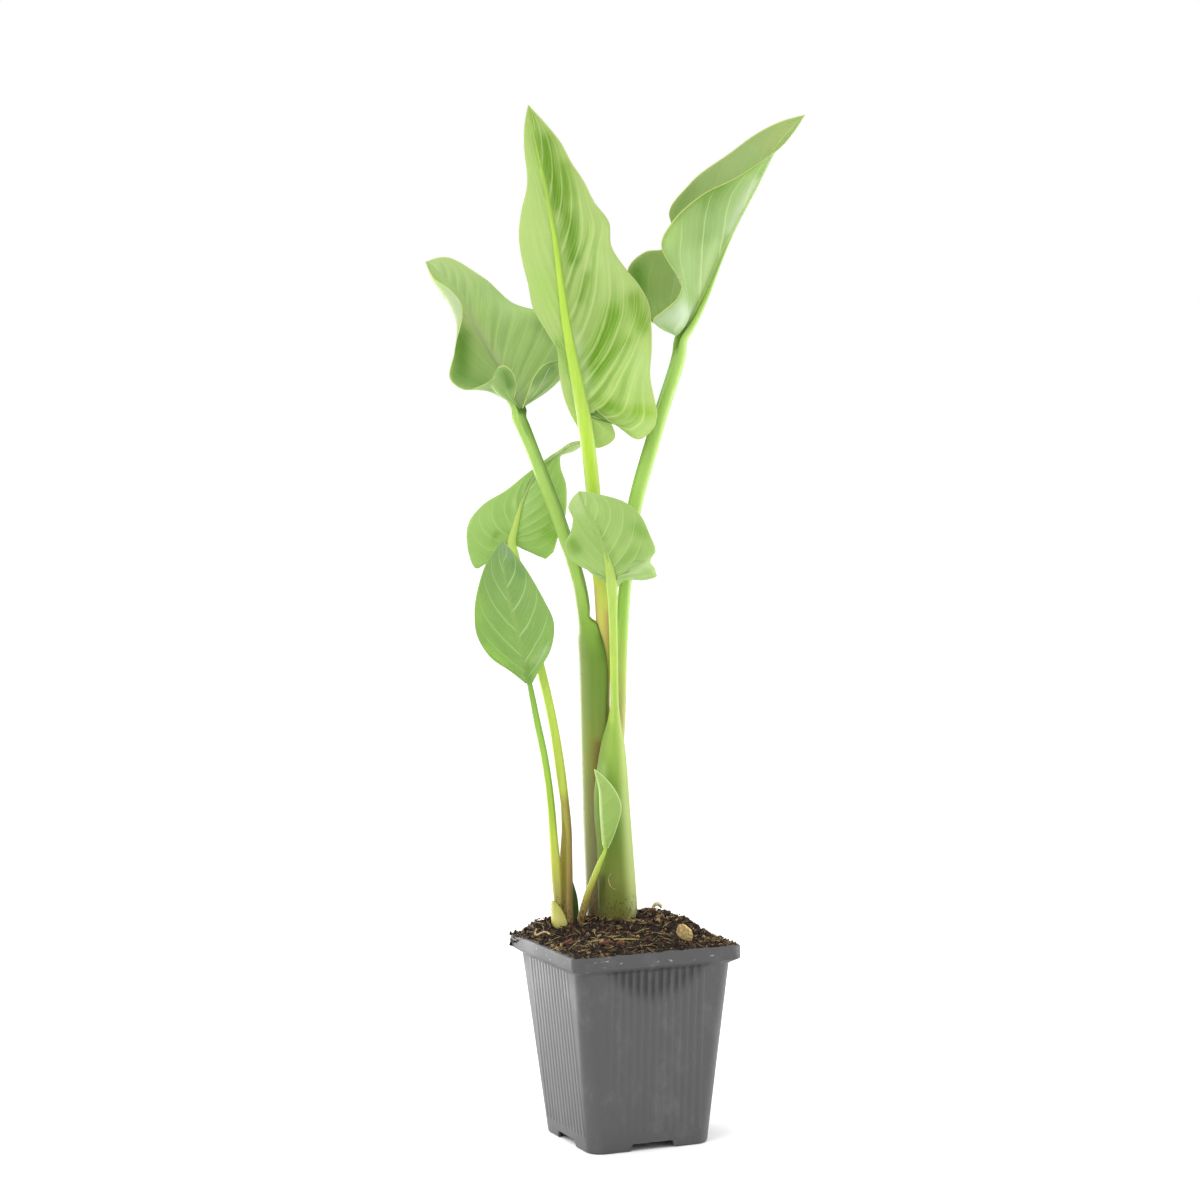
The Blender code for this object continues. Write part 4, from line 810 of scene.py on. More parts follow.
def stalk_rings(wall, run):
    """Rings along a stalk, how near each point is to a sheath's edge, how deep inside its
    hollow and how far to the viewed side, and where each ring is along it."""
    run = np.array(fill_down(run), float)
    knots = chord_knots(run)
    length = np.linalg.norm(np.diff(run[:, :3], axis=0), axis=1).sum()
    at = np.linspace(0, 1, max(FEWEST_RINGS, int(length / RING_PITCH)))
    along = unit(smooth(knots, run[:, :3], at + HEADING_STEP)
                 - smooth(knots, run[:, :3], at - HEADING_STEP))
    back_wall, edge_wall = wall
    rings, near_edge, within, spread = [], [], [], []
    for value, t in zip(smooth(knots, run, at), along):
        middle, (deep, wide, wrap, hollow, turn) = value[:3], value[3:]
        turn, wrap = math.radians(turn), math.radians(wrap)
        way = np.array([math.cos(turn), math.sin(turn), 0.0])
        opening = unit(way - t * (way @ t))
        across = np.cross(t, opening)

        def round_at(angle, thick=0.0):
            return (np.sin(angle)[:, None] * (wide - thick) * across
                    - np.cos(angle)[:, None] * (deep - thick) * opening)

        outer = np.linspace(-wrap, wrap, RING_OUTER)
        share = np.linspace(1, -1, RING_INNER + 2)[1:-1]
        inside = round_at(share * wrap,
                          (back_wall + (edge_wall - back_wall) * share**2)[:, None])
        outside = round_at(wrap + (1 - share) * (math.pi - wrap))
        ring = np.vstack([round_at(outer), inside * hollow + outside * (1 - hollow)])
        rings.append(middle + ring)
        fold = np.concatenate([np.abs(outer) / wrap, np.abs(share)])
        near_edge.append(hollow * fold**8)
        within.append(np.concatenate([np.zeros(RING_OUTER), hollow * (1 - share**4)]))
        spread.append(ring[:, 0] / max(deep, wide))
    return rings, *map(np.concatenate, (near_edge, within, spread)), at


def under_rib(leaf, turn):
    """Where the stalk runs on as a tapering ridge beneath its blade's rib."""
    rib = np.array(leaf["rib"], float)
    knots = chord_knots(rib)
    length = np.linalg.norm(np.diff(rib, axis=0), axis=1).sum()
    for reach, drop, *section in fill_down(leaf["style"]["keel"]):
        foot = smooth(knots, rib, [reach / length])[0]
        way = unit(smooth(knots, rib, [reach / length + 0.03])[0] - foot)
        up = np.array(leaf["face"], float)
        up = unit(up - way * (up @ way))
        yield (*(foot - up * drop), *section, turn)


def make_stalk(name, wall, run, look, slot="leaf_stalk", strokes=()):
    """A stalk as a closed skin along its run, hollow on its open side where it is a sheath."""
    rings, near_edge, inside, spread, at = stalk_rings(wall, run)
    points, faces = loft(rings)
    piece = put(name + "_surface", to_row(points), faces, look)
    size = len(rings[0])
    add_uv(piece, np.tile(np.arange(size) / size, len(rings)), np.repeat(at, size))
    share, laid = paint(points, strokes)
    mark(piece, edge=near_edge, inside=inside, sideways=spread, painted=share, paint=laid)
    finish(piece, slot, name)


# ---------------------------------------------------------------- node helpers
def rgb(red, green, blue):
    """A colour from display values, 0 to 255, as the linear values that nodes take."""
    linear = [((c / 255 + 0.055) / 1.055) ** 2.4 if c > 10 else c / 255 / 12.92
              for c in (red, green, blue)]
    return (*linear, 1.0)


def operator(operation, turned=False):
    """A method that sums two terms in a math node, the second term first where turned."""
    def work(self, other=None):
        return calc(operation, *((other, self) if turned else (self, other)))
    return work


class Wire:
    """An output of a node; sums with it add math nodes to its tree."""
    def __init__(self, socket):
        self.socket, self.tree = socket, socket.id_data

    __add__ = __radd__ = operator("ADD")
    __mul__ = __rmul__ = operator("MULTIPLY")
    __sub__, __rsub__ = operator("SUBTRACT"), operator("SUBTRACT", turned=True)
    __truediv__ = operator("DIVIDE")
    __abs__ = operator("ABSOLUTE")


def feed(made, inputs):
    """Gives a node its inputs, each a value or the wire that carries it."""
    for key, value in inputs.items():
        if isinstance(value, Wire):
            made.id_data.links.new(value.socket, made.inputs[key])
        else:
            made.inputs[key].default_value = value


def new_node(kind, inputs, tree=None, **settings):
    """A new node with its settings, in the tree that its wires come from unless one is given."""
    if tree is None:
        tree = next(value.tree for value in inputs.values() if isinstance(value, Wire))
    made = tree.nodes.new(kind)
    for key, value in settings.items():
        setattr(made, key, value)
    feed(made, inputs)
    return made


def add(kind, inputs=None, out=0, tree=None, **settings):
    """One output of a new node."""
    return Wire(new_node(kind, inputs or {}, tree, **settings).outputs[out])


def wires(made):
    """All outputs of a node by name."""
    return {socket.name: Wire(socket) for socket in made.outputs}


def calc(operation, a, b=None, c=None, clamp=False):
    """What a math node makes of one, two or three terms."""
    given = {key: value for key, value in enumerate((a, b, c)) if value is not None}
    return add("ShaderNodeMath", given, operation=operation, use_clamp=clamp)


def step(value, low, high, start=0.0, end=1.0):
    """A soft step from start to end as the value goes from low to high."""
    return add("ShaderNodeMapRange", {"Value": value, "From Min": low, "From Max": high,
                                      "To Min": start, "To Max": end},
               interpolation_type="SMOOTHSTEP")


def shade_of(colour):
    """A colour as a node takes it: a wire as it is, display values made linear."""
    return colour if isinstance(colour, Wire) else rgb(*colour)


def blend(factor, a, b, kind="MIX"):
    """A colour between a and b."""
    return add("ShaderNodeMix", {0: factor, 6: shade_of(a), 7: shade_of(b)}, 2,
               data_type="RGBA", blend_type=kind)


def pick(factor, a, b):
    """A number between a and b."""
    return add("ShaderNodeMix", {0: factor, 2: a, 3: b}, data_type="FLOAT")


def ramp(value, stops):
    """A colour from a run of stops, each a place and the colour there."""
    made = new_node("ShaderNodeValToRGB", {"Fac": value})
    elements = made.color_ramp.elements
    while len(elements) < len(stops):
        elements.new(1.0)
    for element, (at, *colour) in zip(elements, stops):
        element.position = at
        element.color = rgb(*colour)
    return Wire(made.outputs["Color"])


def read(tree, name, out="Fac"):
    """What is marked on the points of the piece under a name."""
    return add("ShaderNodeAttribute", out=out, tree=tree, attribute_name=name)


def surface_map(tree):
    """The piece's own UV map."""
    return add("ShaderNodeUVMap", tree=tree, uv_map="surface")


def object_point(tree):
    """Object coordinates, in metres."""
    return add("ShaderNodeTexCoord", out="Object", tree=tree)


def place(tree, stretch=(1, 1, 1)):
    """Object coordinates, stretched along the axes."""
    return add("ShaderNodeMapping", {"Vector": object_point(tree), "Scale": stretch})


def grain(at, scale, detail=3.0, rough=0.55):
    """Noise from 0 to 1 round a half."""
    return add("ShaderNodeTexNoise", {"Vector": at, "Scale": scale, "Detail": detail,
                                      "Roughness": rough})


def new_group(name, kind, inputs, outputs):
    """A node group with its sockets, each a name and a kind, or a name alone for a number;
    returns its inputs as wires and the node that it ends in."""
    tree = bpy.data.node_groups.new(name, kind + "NodeTree")
    for way, sockets in (("INPUT", inputs), ("OUTPUT", outputs)):
        for socket in sockets:
            title, made = f"{socket} Float".split()[:2]
            tree.interface.new_socket(title, in_out=way, socket_type="NodeSocket" + made)
    return wires(tree.nodes.new("NodeGroupInput")), tree.nodes.new("NodeGroupOutput")


def new_material(name, roughness, specular=0.5):
    """A material with its Principled shader linked to the output."""
    look = bpy.data.materials.new(name)
    look.use_nodes = True
    tree = look.node_tree
    shader = tree.nodes["Principled BSDF"]
    shader.inputs["Roughness"].default_value = roughness
    shader.inputs["Specular IOR Level"].default_value = specular
    return look, tree, shader


def bump(height, strength, distance):
    """Normals for a surface that rises by a distance in metres where the height is 1."""
    return add("ShaderNodeBump", {"Height": height, "Strength": strength, "Distance": distance})


def let_light_through(shader, colour, share, tint):
    """Mixes in light that comes through from behind, as a thin leaf lets it."""
    behind = add("ShaderNodeBsdfTranslucent", {"Color": blend(1.0, colour, tint, "MULTIPLY")})
    mixed = add("ShaderNodeMixShader", {0: share, 1: Wire(shader.outputs[0]), 2: behind})
    end = next(n for n in mixed.tree.nodes if n.type == "OUTPUT_MATERIAL")
    feed(end, {"Surface": mixed})


# ---------------------------------------------------------------- shared effects
def make_vein_group():
    """Masks of a blade's veins from its surface map: main veins, fine veins, the strips between."""
    given, out = new_group("leaf_veins", "Shader",
                           ("Surface Vector", "Count", "Bend", "Early", "Width"),
                           ("Vein", "Fine", "Between", "Strip", "Streak", "Across", "Right"))
    axes = wires(new_node("ShaderNodeSeparateXYZ", {0: given["Surface"]}))
    centred = axes["Y"] * 2.0 - 1.0
    across = abs(centred)
    reach = across * pick(given["Early"], calc("POWER", across, 2.0), 1.0)
    lean = reach * step(axes["X"], 0.0, 0.3) * given["Bend"]
    wander = grain(place(out.id_data), 90.0, 2.0) * 0.16
    vein = (axes["X"] - lean) * given["Count"] + wander - 0.08

    def from_line(value):
        return abs(calc("FRACT", value + 0.5) - 0.5) * 2.0

    gap = from_line(vein)
    width = given["Width"] * step(across, 0, 1, 1.25, 0.7)
    inner = step(across, 0.8, 1.0, 1.0, 0.0)
    fine_gap = from_line(vein * 4.0 + wander * 3.0)
    side = calc("GREATER_THAN", centred, 0.0)

    def along_veins(narrow, short, detail):
        spread = {"X": vein * narrow, "Y": across * short, "Z": side * 7.0}
        return grain(add("ShaderNodeCombineXYZ", spread), 1.0, detail)

    feed(out, {"Vein": step(gap / width, 0.3, 1.0, 1.0, 0.0) * inner,
               "Fine": step(fine_gap, 0.0, 0.45, 1.0, 0.0) * inner,
               "Between": gap, "Strip": along_veins(1.3, 1.6, 1.0),
               "Streak": along_veins(7.0, 2.5, 3.0), "Across": across, "Right": side})
    return out.id_data


def make_mottle_group():
    """Uneven colour: soft patches, small spots and a touch of streak, on Object coordinates."""
    given, out = new_group("mottle", "Shader", ("Color Color", "Patch", "Depth", "Streak"),
                           ("Color Color", "Height"))
    tree = out.id_data
    spots = grain(place(tree), given["Patch"]) * 0.7 + grain(place(tree), 900.0, 2.0) * 0.3
    streaks = grain(place(tree, (1, 1, 0.06)), 700.0, 2.0)
    uneven = pick(given["Streak"], spots, streaks)
    feed(out, {"Color": add("ShaderNodeHueSaturation", {
        "Color": given["Color"], "Value": (uneven - 0.5) * given["Depth"] + 1.0}),
               "Height": uneven})
    return tree


VEINS = make_vein_group()
MOTTLE = make_mottle_group()


def mottle(tree, colour, patch, depth, streak=0.0):
    """The colour made uneven, and how uneven it is at each point."""
    made = wires(new_node("ShaderNodeGroup", {
        "Color": shade_of(colour), "Patch": patch, "Depth": depth, "Streak": streak}, tree,
                          node_tree=MOTTLE))
    return made["Color"], made["Height"]


# ---------------------------------------------------------------- leaf and stalk materials
LEAF_LIGHT = (255, 255, 150)
STALK_LIGHT = (255, 250, 170)
STALK_THROUGH = 0.25
DIRT = (84, 68, 42)
SOIL_LINE = 102
SIDE_FADE_TOP = 25
SIDE_FADE_FOOT = 20
BORDER_FADE = 20
GLOSS_RANGE = 0.14


def leaf_material(name, leaf):
    """A blade: its own green above and beneath, pale veins and rib, deeper strips between, partly
    its own darker green and partly painted shade of the quilted valleys.
    """
    style, tone = leaf["style"], {**PLAIN_TONE, **leaf["tone"]}
    look, tree, shader = new_material(name, 0.42, 0.3)
    veins = wires(new_node("ShaderNodeGroup", {
        "Surface": surface_map(tree), "Count": style["veins"], "Bend": style["bend"],
        "Early": style["early"], "Width": tone["width"]}, node_tree=VEINS, tree=tree))
    across, right = veins["Across"], veins["Right"]
    climb, upper = read(tree, "climb"), read(tree, "upper")
    colour = blend(upper, ramp(climb, tone["under"]), ramp(climb, tone["above"]))
    colour = mottle(tree, colour, 45.0, 0.22)[0]
    # The painted strokes: the leaf's own patches of colour and painted light and shade.
    feather = calc("MULTIPLY_ADD", veins["Streak"], 2 * tone["streaky"], 1 - tone["streaky"])
    share = calc("MULTIPLY", read(tree, "painted"), feather, clamp=True)
    colour = blend(share, colour, read(tree, "paint", "Color"))
    # Deeper strips between the veins near the rib: partly the leaf's own darker green, partly
    # painted shade of the quilted valleys.
    near_rib = step(across, 0.02, 0.12) * step(across, *tone["deep_reach"], 1.0, 0.0)
    deep_and_shaded_strips = step(veins["Between"], 0.0, 0.5) * near_rib * pick(right, *tone["deep"])
    deep_and_shaded_strips = calc("MULTIPLY", deep_and_shaded_strips, step(veins["Strip"], 0.4, 0.6), clamp=True)
    colour = blend(deep_and_shaded_strips, colour, tone["deep_colour"])
    lines = calc("MULTIPLY", veins["Vein"] + veins["Fine"] * tone["fine"],
                 pick(right, *tone["vein"]), clamp=True)
    colour = blend(lines, colour, blend(upper, tone["vein_under"], tone["vein_above"]))
    on_rib = step(read(tree, "rib"), 0.75, 1.7, 1.0, 0.0) * pick(upper, 1.0, 0.5)
    colour = blend(on_rib, colour, ramp(climb, tone["rib"]))
    colour = blend(step(read(tree, "edge"), 0.2, 0.8, 0.85, 0.0), colour, tone["border"])
    height = grain(place(tree), 1400.0, 2.0) * 0.6 - veins["Fine"] * 0.5
    gloss = tone["gloss"]
    rough = step(grain(place(tree), 60.0), 0.3, 0.7, gloss, gloss + GLOSS_RANGE)
    feed(shader, {"Base Color": colour, "Roughness": rough,
                  "Normal": bump(height, 0.35, 0.0002)})
    let_light_through(shader, colour, tone["through"], LEAF_LIGHT)
    return look


def stalk_material(name, stops, left=None, right=None, groove=None, foot=None, border=()):
    """A stalk: a run of colours by height, darker or paler sides that paint in light and shade over
    its own tone, a groove darkened with painted shade, long streaks, a dirty foot.
    """
    look, tree, shader = new_material(name, 0.42, 0.25)
    height = wires(new_node("ShaderNodeSeparateXYZ", {0: object_point(tree)}))["Z"]

    def by_height(low, high, start=0, end=1):
        return step(height, low * MM, high * MM, start, end)

    lowest, highest = stops[0][0], stops[-1][0]
    share = (height - lowest * MM) / ((highest - lowest) * MM)
    colour = ramp(share, [((z - lowest) / (highest - lowest), *c) for z, *c in stops])
    sideways = read(tree, "sideways")
    # The side tints paint light and shade on the stalk's sides as seen from in front, over its own
    # tone.
    for side, tint in ((-1, left), (1, right)):
        if tint:
            *shade, strength, from_z, to_z = tint
            side_light_and_shade = (step(sideways * side, 0.25, 0.85)
                    * by_height(to_z, to_z + SIDE_FADE_TOP, 1, 0)
                    * by_height(from_z, from_z + SIDE_FADE_FOOT))
            colour = blend(side_light_and_shade * strength, colour, shade)
    colour, streaks = mottle(tree, colour, 60.0, 0.34, 0.65)
    share = calc("MULTIPLY", read(tree, "painted"), step(streaks, 0.3, 0.7, 0.5, 1.3), clamp=True)
    colour = blend(share, colour, read(tree, "paint", "Color"))
    # The groove's colour is painted shade, darker inside the hollow.
    if groove:
        colour = blend(step(read(tree, "inside"), 0.1, 0.7, 0, 0.85), colour, groove)
    for *shade, from_z in border:
        rim = (step(read(tree, "edge"), 0.35, 0.9, 0, 0.85)
               * by_height(from_z - BORDER_FADE, from_z))
        colour = blend(rim, colour, shade)
    if foot:
        *shade, top = foot
        low = by_height(SOIL_LINE, top, 1, 0)
        spots = grain(place(tree, (1, 1, 0.6)), 900.0, 4.0, 0.75) + low * 0.15
        colour = blend(low * 0.5, colour, shade)
        colour = blend(step(spots, 0.58, 0.72) * step(low, 0, 0.3, 0, 0.85), colour, DIRT)
    rough = step(streaks, 0.3, 0.7, 0.34, 0.5) + read(tree, "edge") * 0.5
    feed(shader, {"Base Color": colour, "Roughness": rough,
                  "Normal": bump(streaks, 0.3, 0.0004)})
    let_light_through(shader, colour, STALK_THROUGH, STALK_LIGHT)
    return look


# Heights and a depth on the pot, in metres, between which one look turns to another
RIM_TURN = 0.0925, 0.0935
RIM_SHADE_FOOT = 0.0715, 0.082
RIM_SHADE_TOP = 0.0915, 0.0925
FRONT_WALL = -0.034, -0.032
RIM_SHADE_ARCH = 22.0


def pot_material():
    """Dark grey moulded plastic: satin, a little dusty, with faint upright streaks, scuffs and
    painted shade in dark streaks under the rim on the front wall.
    """
    look, tree, shader = new_material("pot_grey", 0.45)
    axes = wires(new_node("ShaderNodeSeparateXYZ", {0: object_point(tree)}))
    x, y, height = axes["X"], axes["Y"], axes["Z"]
    colour, uneven = mottle(tree, (66, 66, 67), 40.0, 0.22, 0.15)
    between = 0.5 - calc("COSINE", x * (2 * math.pi / (RIB_PITCH * MM))) * 0.5
    arch = calc("POWER", abs(x), 2.0) * RIM_SHADE_ARCH
    # Painted shade: dark streaks between the ribs under the rim on the front wall, in an arch,
    # where the rim's overhang shades the wall.
    below_rim = step(height - arch, *RIM_SHADE_FOOT) * step(height, *RIM_SHADE_TOP, 1, 0)
    gap = (grain(place(tree, (1, 1, 0.03)), 620.0, 2.0) + 0.25) * between
    rim_shade = below_rim * step(y, *FRONT_WALL, 1, 0) * step(gap, 0.05, 0.5, 0.25, 1.0)
    colour = blend(rim_shade * 0.95, colour, (14, 14, 15))
    dust = step(grain(place(tree, (1, 1, 0.6)), 70.0, 5.0, 0.7), 0.48, 0.75)
    colour = blend(dust * 0.12, colour, (150, 149, 146))
    scuffs = step(grain(place(tree, (1, 1, 3)), 210.0, 4.0, 0.65), 0.64, 0.7)
    rim = step(height, *RIM_TURN)
    colour = blend(scuffs * rim * 0.45, colour, (190, 190, 188))
    feed(shader, {"Base Color": colour,
                  "Roughness": step(uneven, 0.3, 0.7, 0.36, 0.5) + rim * 0.2,
                  "Normal": bump(grain(place(tree), 1600.0), 0.25, 0.0001)})
    return look


def soil_material():
    """Peat: near black to warm brown lumps, a few tan and pale."""
    look, tree, shader = new_material("peat_brown", 0.85, 0.25)
    lumps = ramp(read(tree, "shade"), [(0, 26, 20, 16), (0.5, 46, 34, 25), (0.8, 70, 52, 36),
                                       (0.93, 104, 80, 52), (1, 160, 136, 96)])
    fine = grain(place(tree), 1500.0, 4.0, 0.7)
    feed(shader, {"Base Color": mottle(tree, lumps, 300.0, 0.8)[0],
                  "Roughness": step(fine, 0.3, 0.7, 0.95, 0.7),
                  "Normal": bump(fine, 0.9, 0.0005)})
    return look


def litter_material(name, pale, dark, long_grain, gloss=0.7):
    """Dry plant stuff: two tones in long fibres that run with the piece's own map."""
    look, tree, shader = new_material(name, gloss, 0.3)
    stretched = add("ShaderNodeMapping",
                    {"Vector": surface_map(tree), "Scale": (*long_grain, 1)})
    fibres = grain(stretched, 1.0, 4.0, 0.65)
    share = fibres * 0.65 + grain(place(tree), 420.0) * 0.35
    colour = blend(step(share, 0.38, 0.62), dark, pale)
    feed(shader, {"Base Color": mottle(tree, colour, 500.0, 0.4)[0],
                  "Roughness": step(fibres, 0.3, 0.7, gloss + 0.15, gloss),
                  "Normal": bump(share, 0.8, 0.0004)})
    return look


def make_plant():
    """Seven leaves, each with its stalk, and the two small growths at their foot."""
    for name, leaf in LEAVES.items():
        make_blade(name + "_blade", leaf, leaf_material(name + "_green", leaf))
        tones = dict(leaf["stalk_tone"])
        strokes = tones.pop("painted", ())
        run = fill_down(leaf["stalk"]["run"])
        turn = leaf["stalk"].get("turn", run[-1][-1])
        make_stalk(name + "_stalk", leaf["stalk"]["wall"], [*run, *under_rib(leaf, turn)],
                   stalk_material(name + "_stalk_green", **tones), strokes=strokes)
    for name, shape, colour, tones in (("side_shoot", SIDE_SHOOT, "shoot_green", SHOOT_TONE),
                                       ("basal_scale", BASAL_SCALE, "scale_yellow", SCALE_TONE)):
        make_stalk(name, shape["wall"], shape["run"], stalk_material(colour, **tones), colour)


# ---------------------------------------------------------------- geometry node helpers
def new_tree(name, *inputs):
    """A geometry tree with its named inputs after the geometry that it works on."""
    return new_group(name, "Geometry", ("Geometry Geometry", *inputs), ("Geometry Geometry",))


def end_tree(out, instances, look):
    """Realizes the copies, gives them their material and sends them out."""
    real = add("GeometryNodeRealizeInstances", {0: instances})
    feed(out, {0: add("GeometryNodeSetMaterial", {"Geometry": real, "Material": look})})


def grow(name, base, tree, values):
    """The plain mesh that a geometry tree makes from a base mesh with these inputs."""
    work = show(name + "_work", base)
    modifier = work.modifiers.new("grow", "NODES")
    modifier.node_group = tree
    sockets = {item.name: item.identifier for item in tree.interface.items_tree
               if item.in_out == "INPUT"}
    for key, value in values.items():
        modifier[sockets[key]] = value
    bpy.context.view_layer.update()
    mesh = bpy.data.meshes.new_from_object(
        work.evaluated_get(bpy.context.evaluated_depsgraph_get()))
    work.modifiers.remove(modifier)
    bpy.data.objects.remove(work)
    mesh.name = name
    return show(name, mesh)


def random_number(low, high, seed, salt):
    """A number that is different at each point; the salt sets it apart from the others."""
    return add("FunctionNodeRandomValue", {"Min": low, "Max": high, "Seed": seed + salt},
               "Value", data_type="FLOAT")


# ---------------------------------------------------------------- pot
POT_HEIGHT = 100.0
RIM_HALF = 45.0
RIM_DEPTH = 6.7
RIM_UNDERSIDE = 2.5
UNDER_RIM = POT_HEIGHT - RIM_DEPTH
WALL_TOP = UNDER_RIM - RIM_UNDERSIDE
WALL_TOP_HALF = 41.2
WALL_BASE_HALF = 32.5
WALL = 1.2
CORNER_TOP = 5.0
CORNER_BASE = 8.5
FOOT_ROUNDING = 0.7
RIM_ROUNDING = 0.8
RIM_ROUNDING_UNDER = 0.5
FLOOR_LIFT = 4.0
FLOOR_TOP = FLOOR_LIFT + WALL
MIDDLE_FOOT = 10.0
NOTCH_WIDTH = 21.5
NOTCH_HEIGHT = 3.5
NOTCH_SLANT = 1.6
DRAIN_RADIUS = 3.0
DRAIN_PLACE = 19.0
DRAIN_SIDES = 32
WALL_RINGS = 14
CUTTER_REACH = 4
SHARP_FROM = math.radians(35)
CORNER_STEPS = 10
GAP = 0.3
RIBS = 17
RIB_PITCH = 4.05
RIB_WIDTH = 3.9
RIB_PROUD = 0.2
RIB_SUNK = 0.3
RIB_FOOT = 8.0


def rounded_square(half, radius, z, between=0):
    """One ring round the pot; a radius equal to the half width makes a circle."""
    ring = []
    middle = half - radius
    for corner in range(4):
        turn = corner * math.pi / 2
        cx = middle * (1 if corner in (0, 3) else -1)
        cy = middle * (1 if corner in (0, 1) else -1)
        for k in range(CORNER_STEPS + 1):
            a = turn + k / CORNER_STEPS * math.pi / 2
            ring.append((cx + radius * math.cos(a), cy + radius * math.sin(a), z))
        along = np.array((-math.sin(turn + math.pi / 2), math.cos(turn + math.pi / 2), 0))
        for k in range(between):
            gap = 2 * middle * (k + 1) / (between + 1)
            ring.append(tuple(ring[-1 - k] + gap * along))
    return np.array(ring)


def wall_half(z):
    """Half the outer width of the wall at a height."""
    return WALL_BASE_HALF + (WALL_TOP_HALF - WALL_BASE_HALF) * z / WALL_TOP


def wall_corner(z):
    """Corner radius of the wall at a height."""
    return CORNER_BASE + (CORNER_TOP + 2 - CORNER_BASE) * z / POT_HEIGHT


def rounded_edge(half, corner, z, radius, from_turn, to_turn, steps=4):
    """Rings round an outer edge whose rounding is centred a radius in from half and from z."""
    rings = []
    for k in range(steps + 1):
        a = math.radians(from_turn + (to_turn - from_turn) * k / steps)
        out, rise = radius * math.cos(a), radius * math.sin(a)
        rings.append(rounded_square(half - radius + out, max(0.2, corner - radius + out), z + rise))
    return rings


def make_pot():
    """The pot's shell: rounded rim, tapered walls, feet cut out between the corners, drains."""
    inner = CORNER_BASE - WALL
    top_hole, top_corner = wall_half(POT_HEIGHT) - WALL, wall_corner(POT_HEIGHT) - WALL
    rings = [rounded_square(MIDDLE_FOOT, MIDDLE_FOOT, 0),
             rounded_square(MIDDLE_FOOT + 1, MIDDLE_FOOT + 1, FLOOR_LIFT),
             rounded_square(wall_half(FLOOR_LIFT) - WALL, inner, FLOOR_LIFT),
             rounded_square(wall_half(0) - WALL, inner, 0)]
    rings += rounded_edge(wall_half(0), CORNER_BASE, FOOT_ROUNDING, FOOT_ROUNDING, -90, 0)
    rings += [rounded_square(wall_half(z), wall_corner(z), z)
              for z in np.linspace(0.8, WALL_TOP - 0.3, WALL_RINGS)]
    rings.append(rounded_square(wall_half(WALL_TOP) + 0.25, wall_corner(WALL_TOP), WALL_TOP + 0.1))
    rings += rounded_edge(RIM_HALF, CORNER_TOP, UNDER_RIM + RIM_ROUNDING_UNDER,
                          RIM_ROUNDING_UNDER, -60, 0)
    rings += rounded_edge(RIM_HALF, CORNER_TOP, POT_HEIGHT - RIM_ROUNDING, RIM_ROUNDING, 0, 90)
    rings += [rounded_square(top_hole + 0.3, top_corner + 0.3, POT_HEIGHT),
              rounded_square(top_hole, top_corner, POT_HEIGHT - 0.3),
              rounded_square(wall_half(FLOOR_TOP) - WALL, inner, FLOOR_TOP),
              rounded_square(MIDDLE_FOOT, MIDDLE_FOOT, FLOOR_TOP),
              rounded_square(MIDDLE_FOOT - 1, MIDDLE_FOOT - 1, WALL)]
    points, faces = loft(rings)
    look = pot_material()
    shell = put("pot_shell", points * MM, faces, look, smooth_shade=False)
    cutters = []
    half, slant = NOTCH_WIDTH / 2, NOTCH_SLANT
    outline = [(-half - slant, -1), (half + slant, -1), (half, NOTCH_HEIGHT), (-half, NOTCH_HEIGHT)]
    sides = [(k, k + 4, (k + 1) % 4 + 4, (k + 1) % 4) for k in range(4)]
    for side in range(4):
        turn = Matrix.Rotation(side * math.pi / 2, 3, "Z")
        corners = [turn @ Vector((x, y, z)) * MM
                   for y in (WALL_BASE_HALF - CUTTER_REACH, WALL_BASE_HALF + CUTTER_REACH)
                   for x, z in outline]
        cutters.append(put(f"notch_{side}", corners, [(0, 1, 2, 3), (7, 6, 5, 4)] + sides, look))
        middle = turn @ Vector((DRAIN_PLACE, DRAIN_PLACE, 0))
        circle = [(middle.x + DRAIN_RADIUS * math.cos(a), middle.y + DRAIN_RADIUS * math.sin(a))
                  for a in np.linspace(0, 2 * math.pi, DRAIN_SIDES, endpoint=False)]
        drain, drain_faces = loft([np.array([(x, y, z) for x, y in circle])
                                   for z in (FLOOR_LIFT - 1, FLOOR_TOP + 1)])
        cutters.append(put(f"drain_{side}", drain * MM, drain_faces, look))
    for cutter in cutters:
        boolean = shell.modifiers.new(cutter.name, "BOOLEAN")
        boolean.operation = "DIFFERENCE"
        boolean.object = cutter
    mesh = bpy.data.meshes.new_from_object(
        shell.evaluated_get(bpy.context.evaluated_depsgraph_get()))
    shell.modifiers.clear()
    shell.data = mesh
    for cutter in cutters:
        bpy.data.objects.remove(cutter)
    mesh.shade_smooth()
    mesh.set_sharp_from_angle(angle=SHARP_FROM)
    finish(shell, "pot_plastic", "pot")
    make_ribs(look)


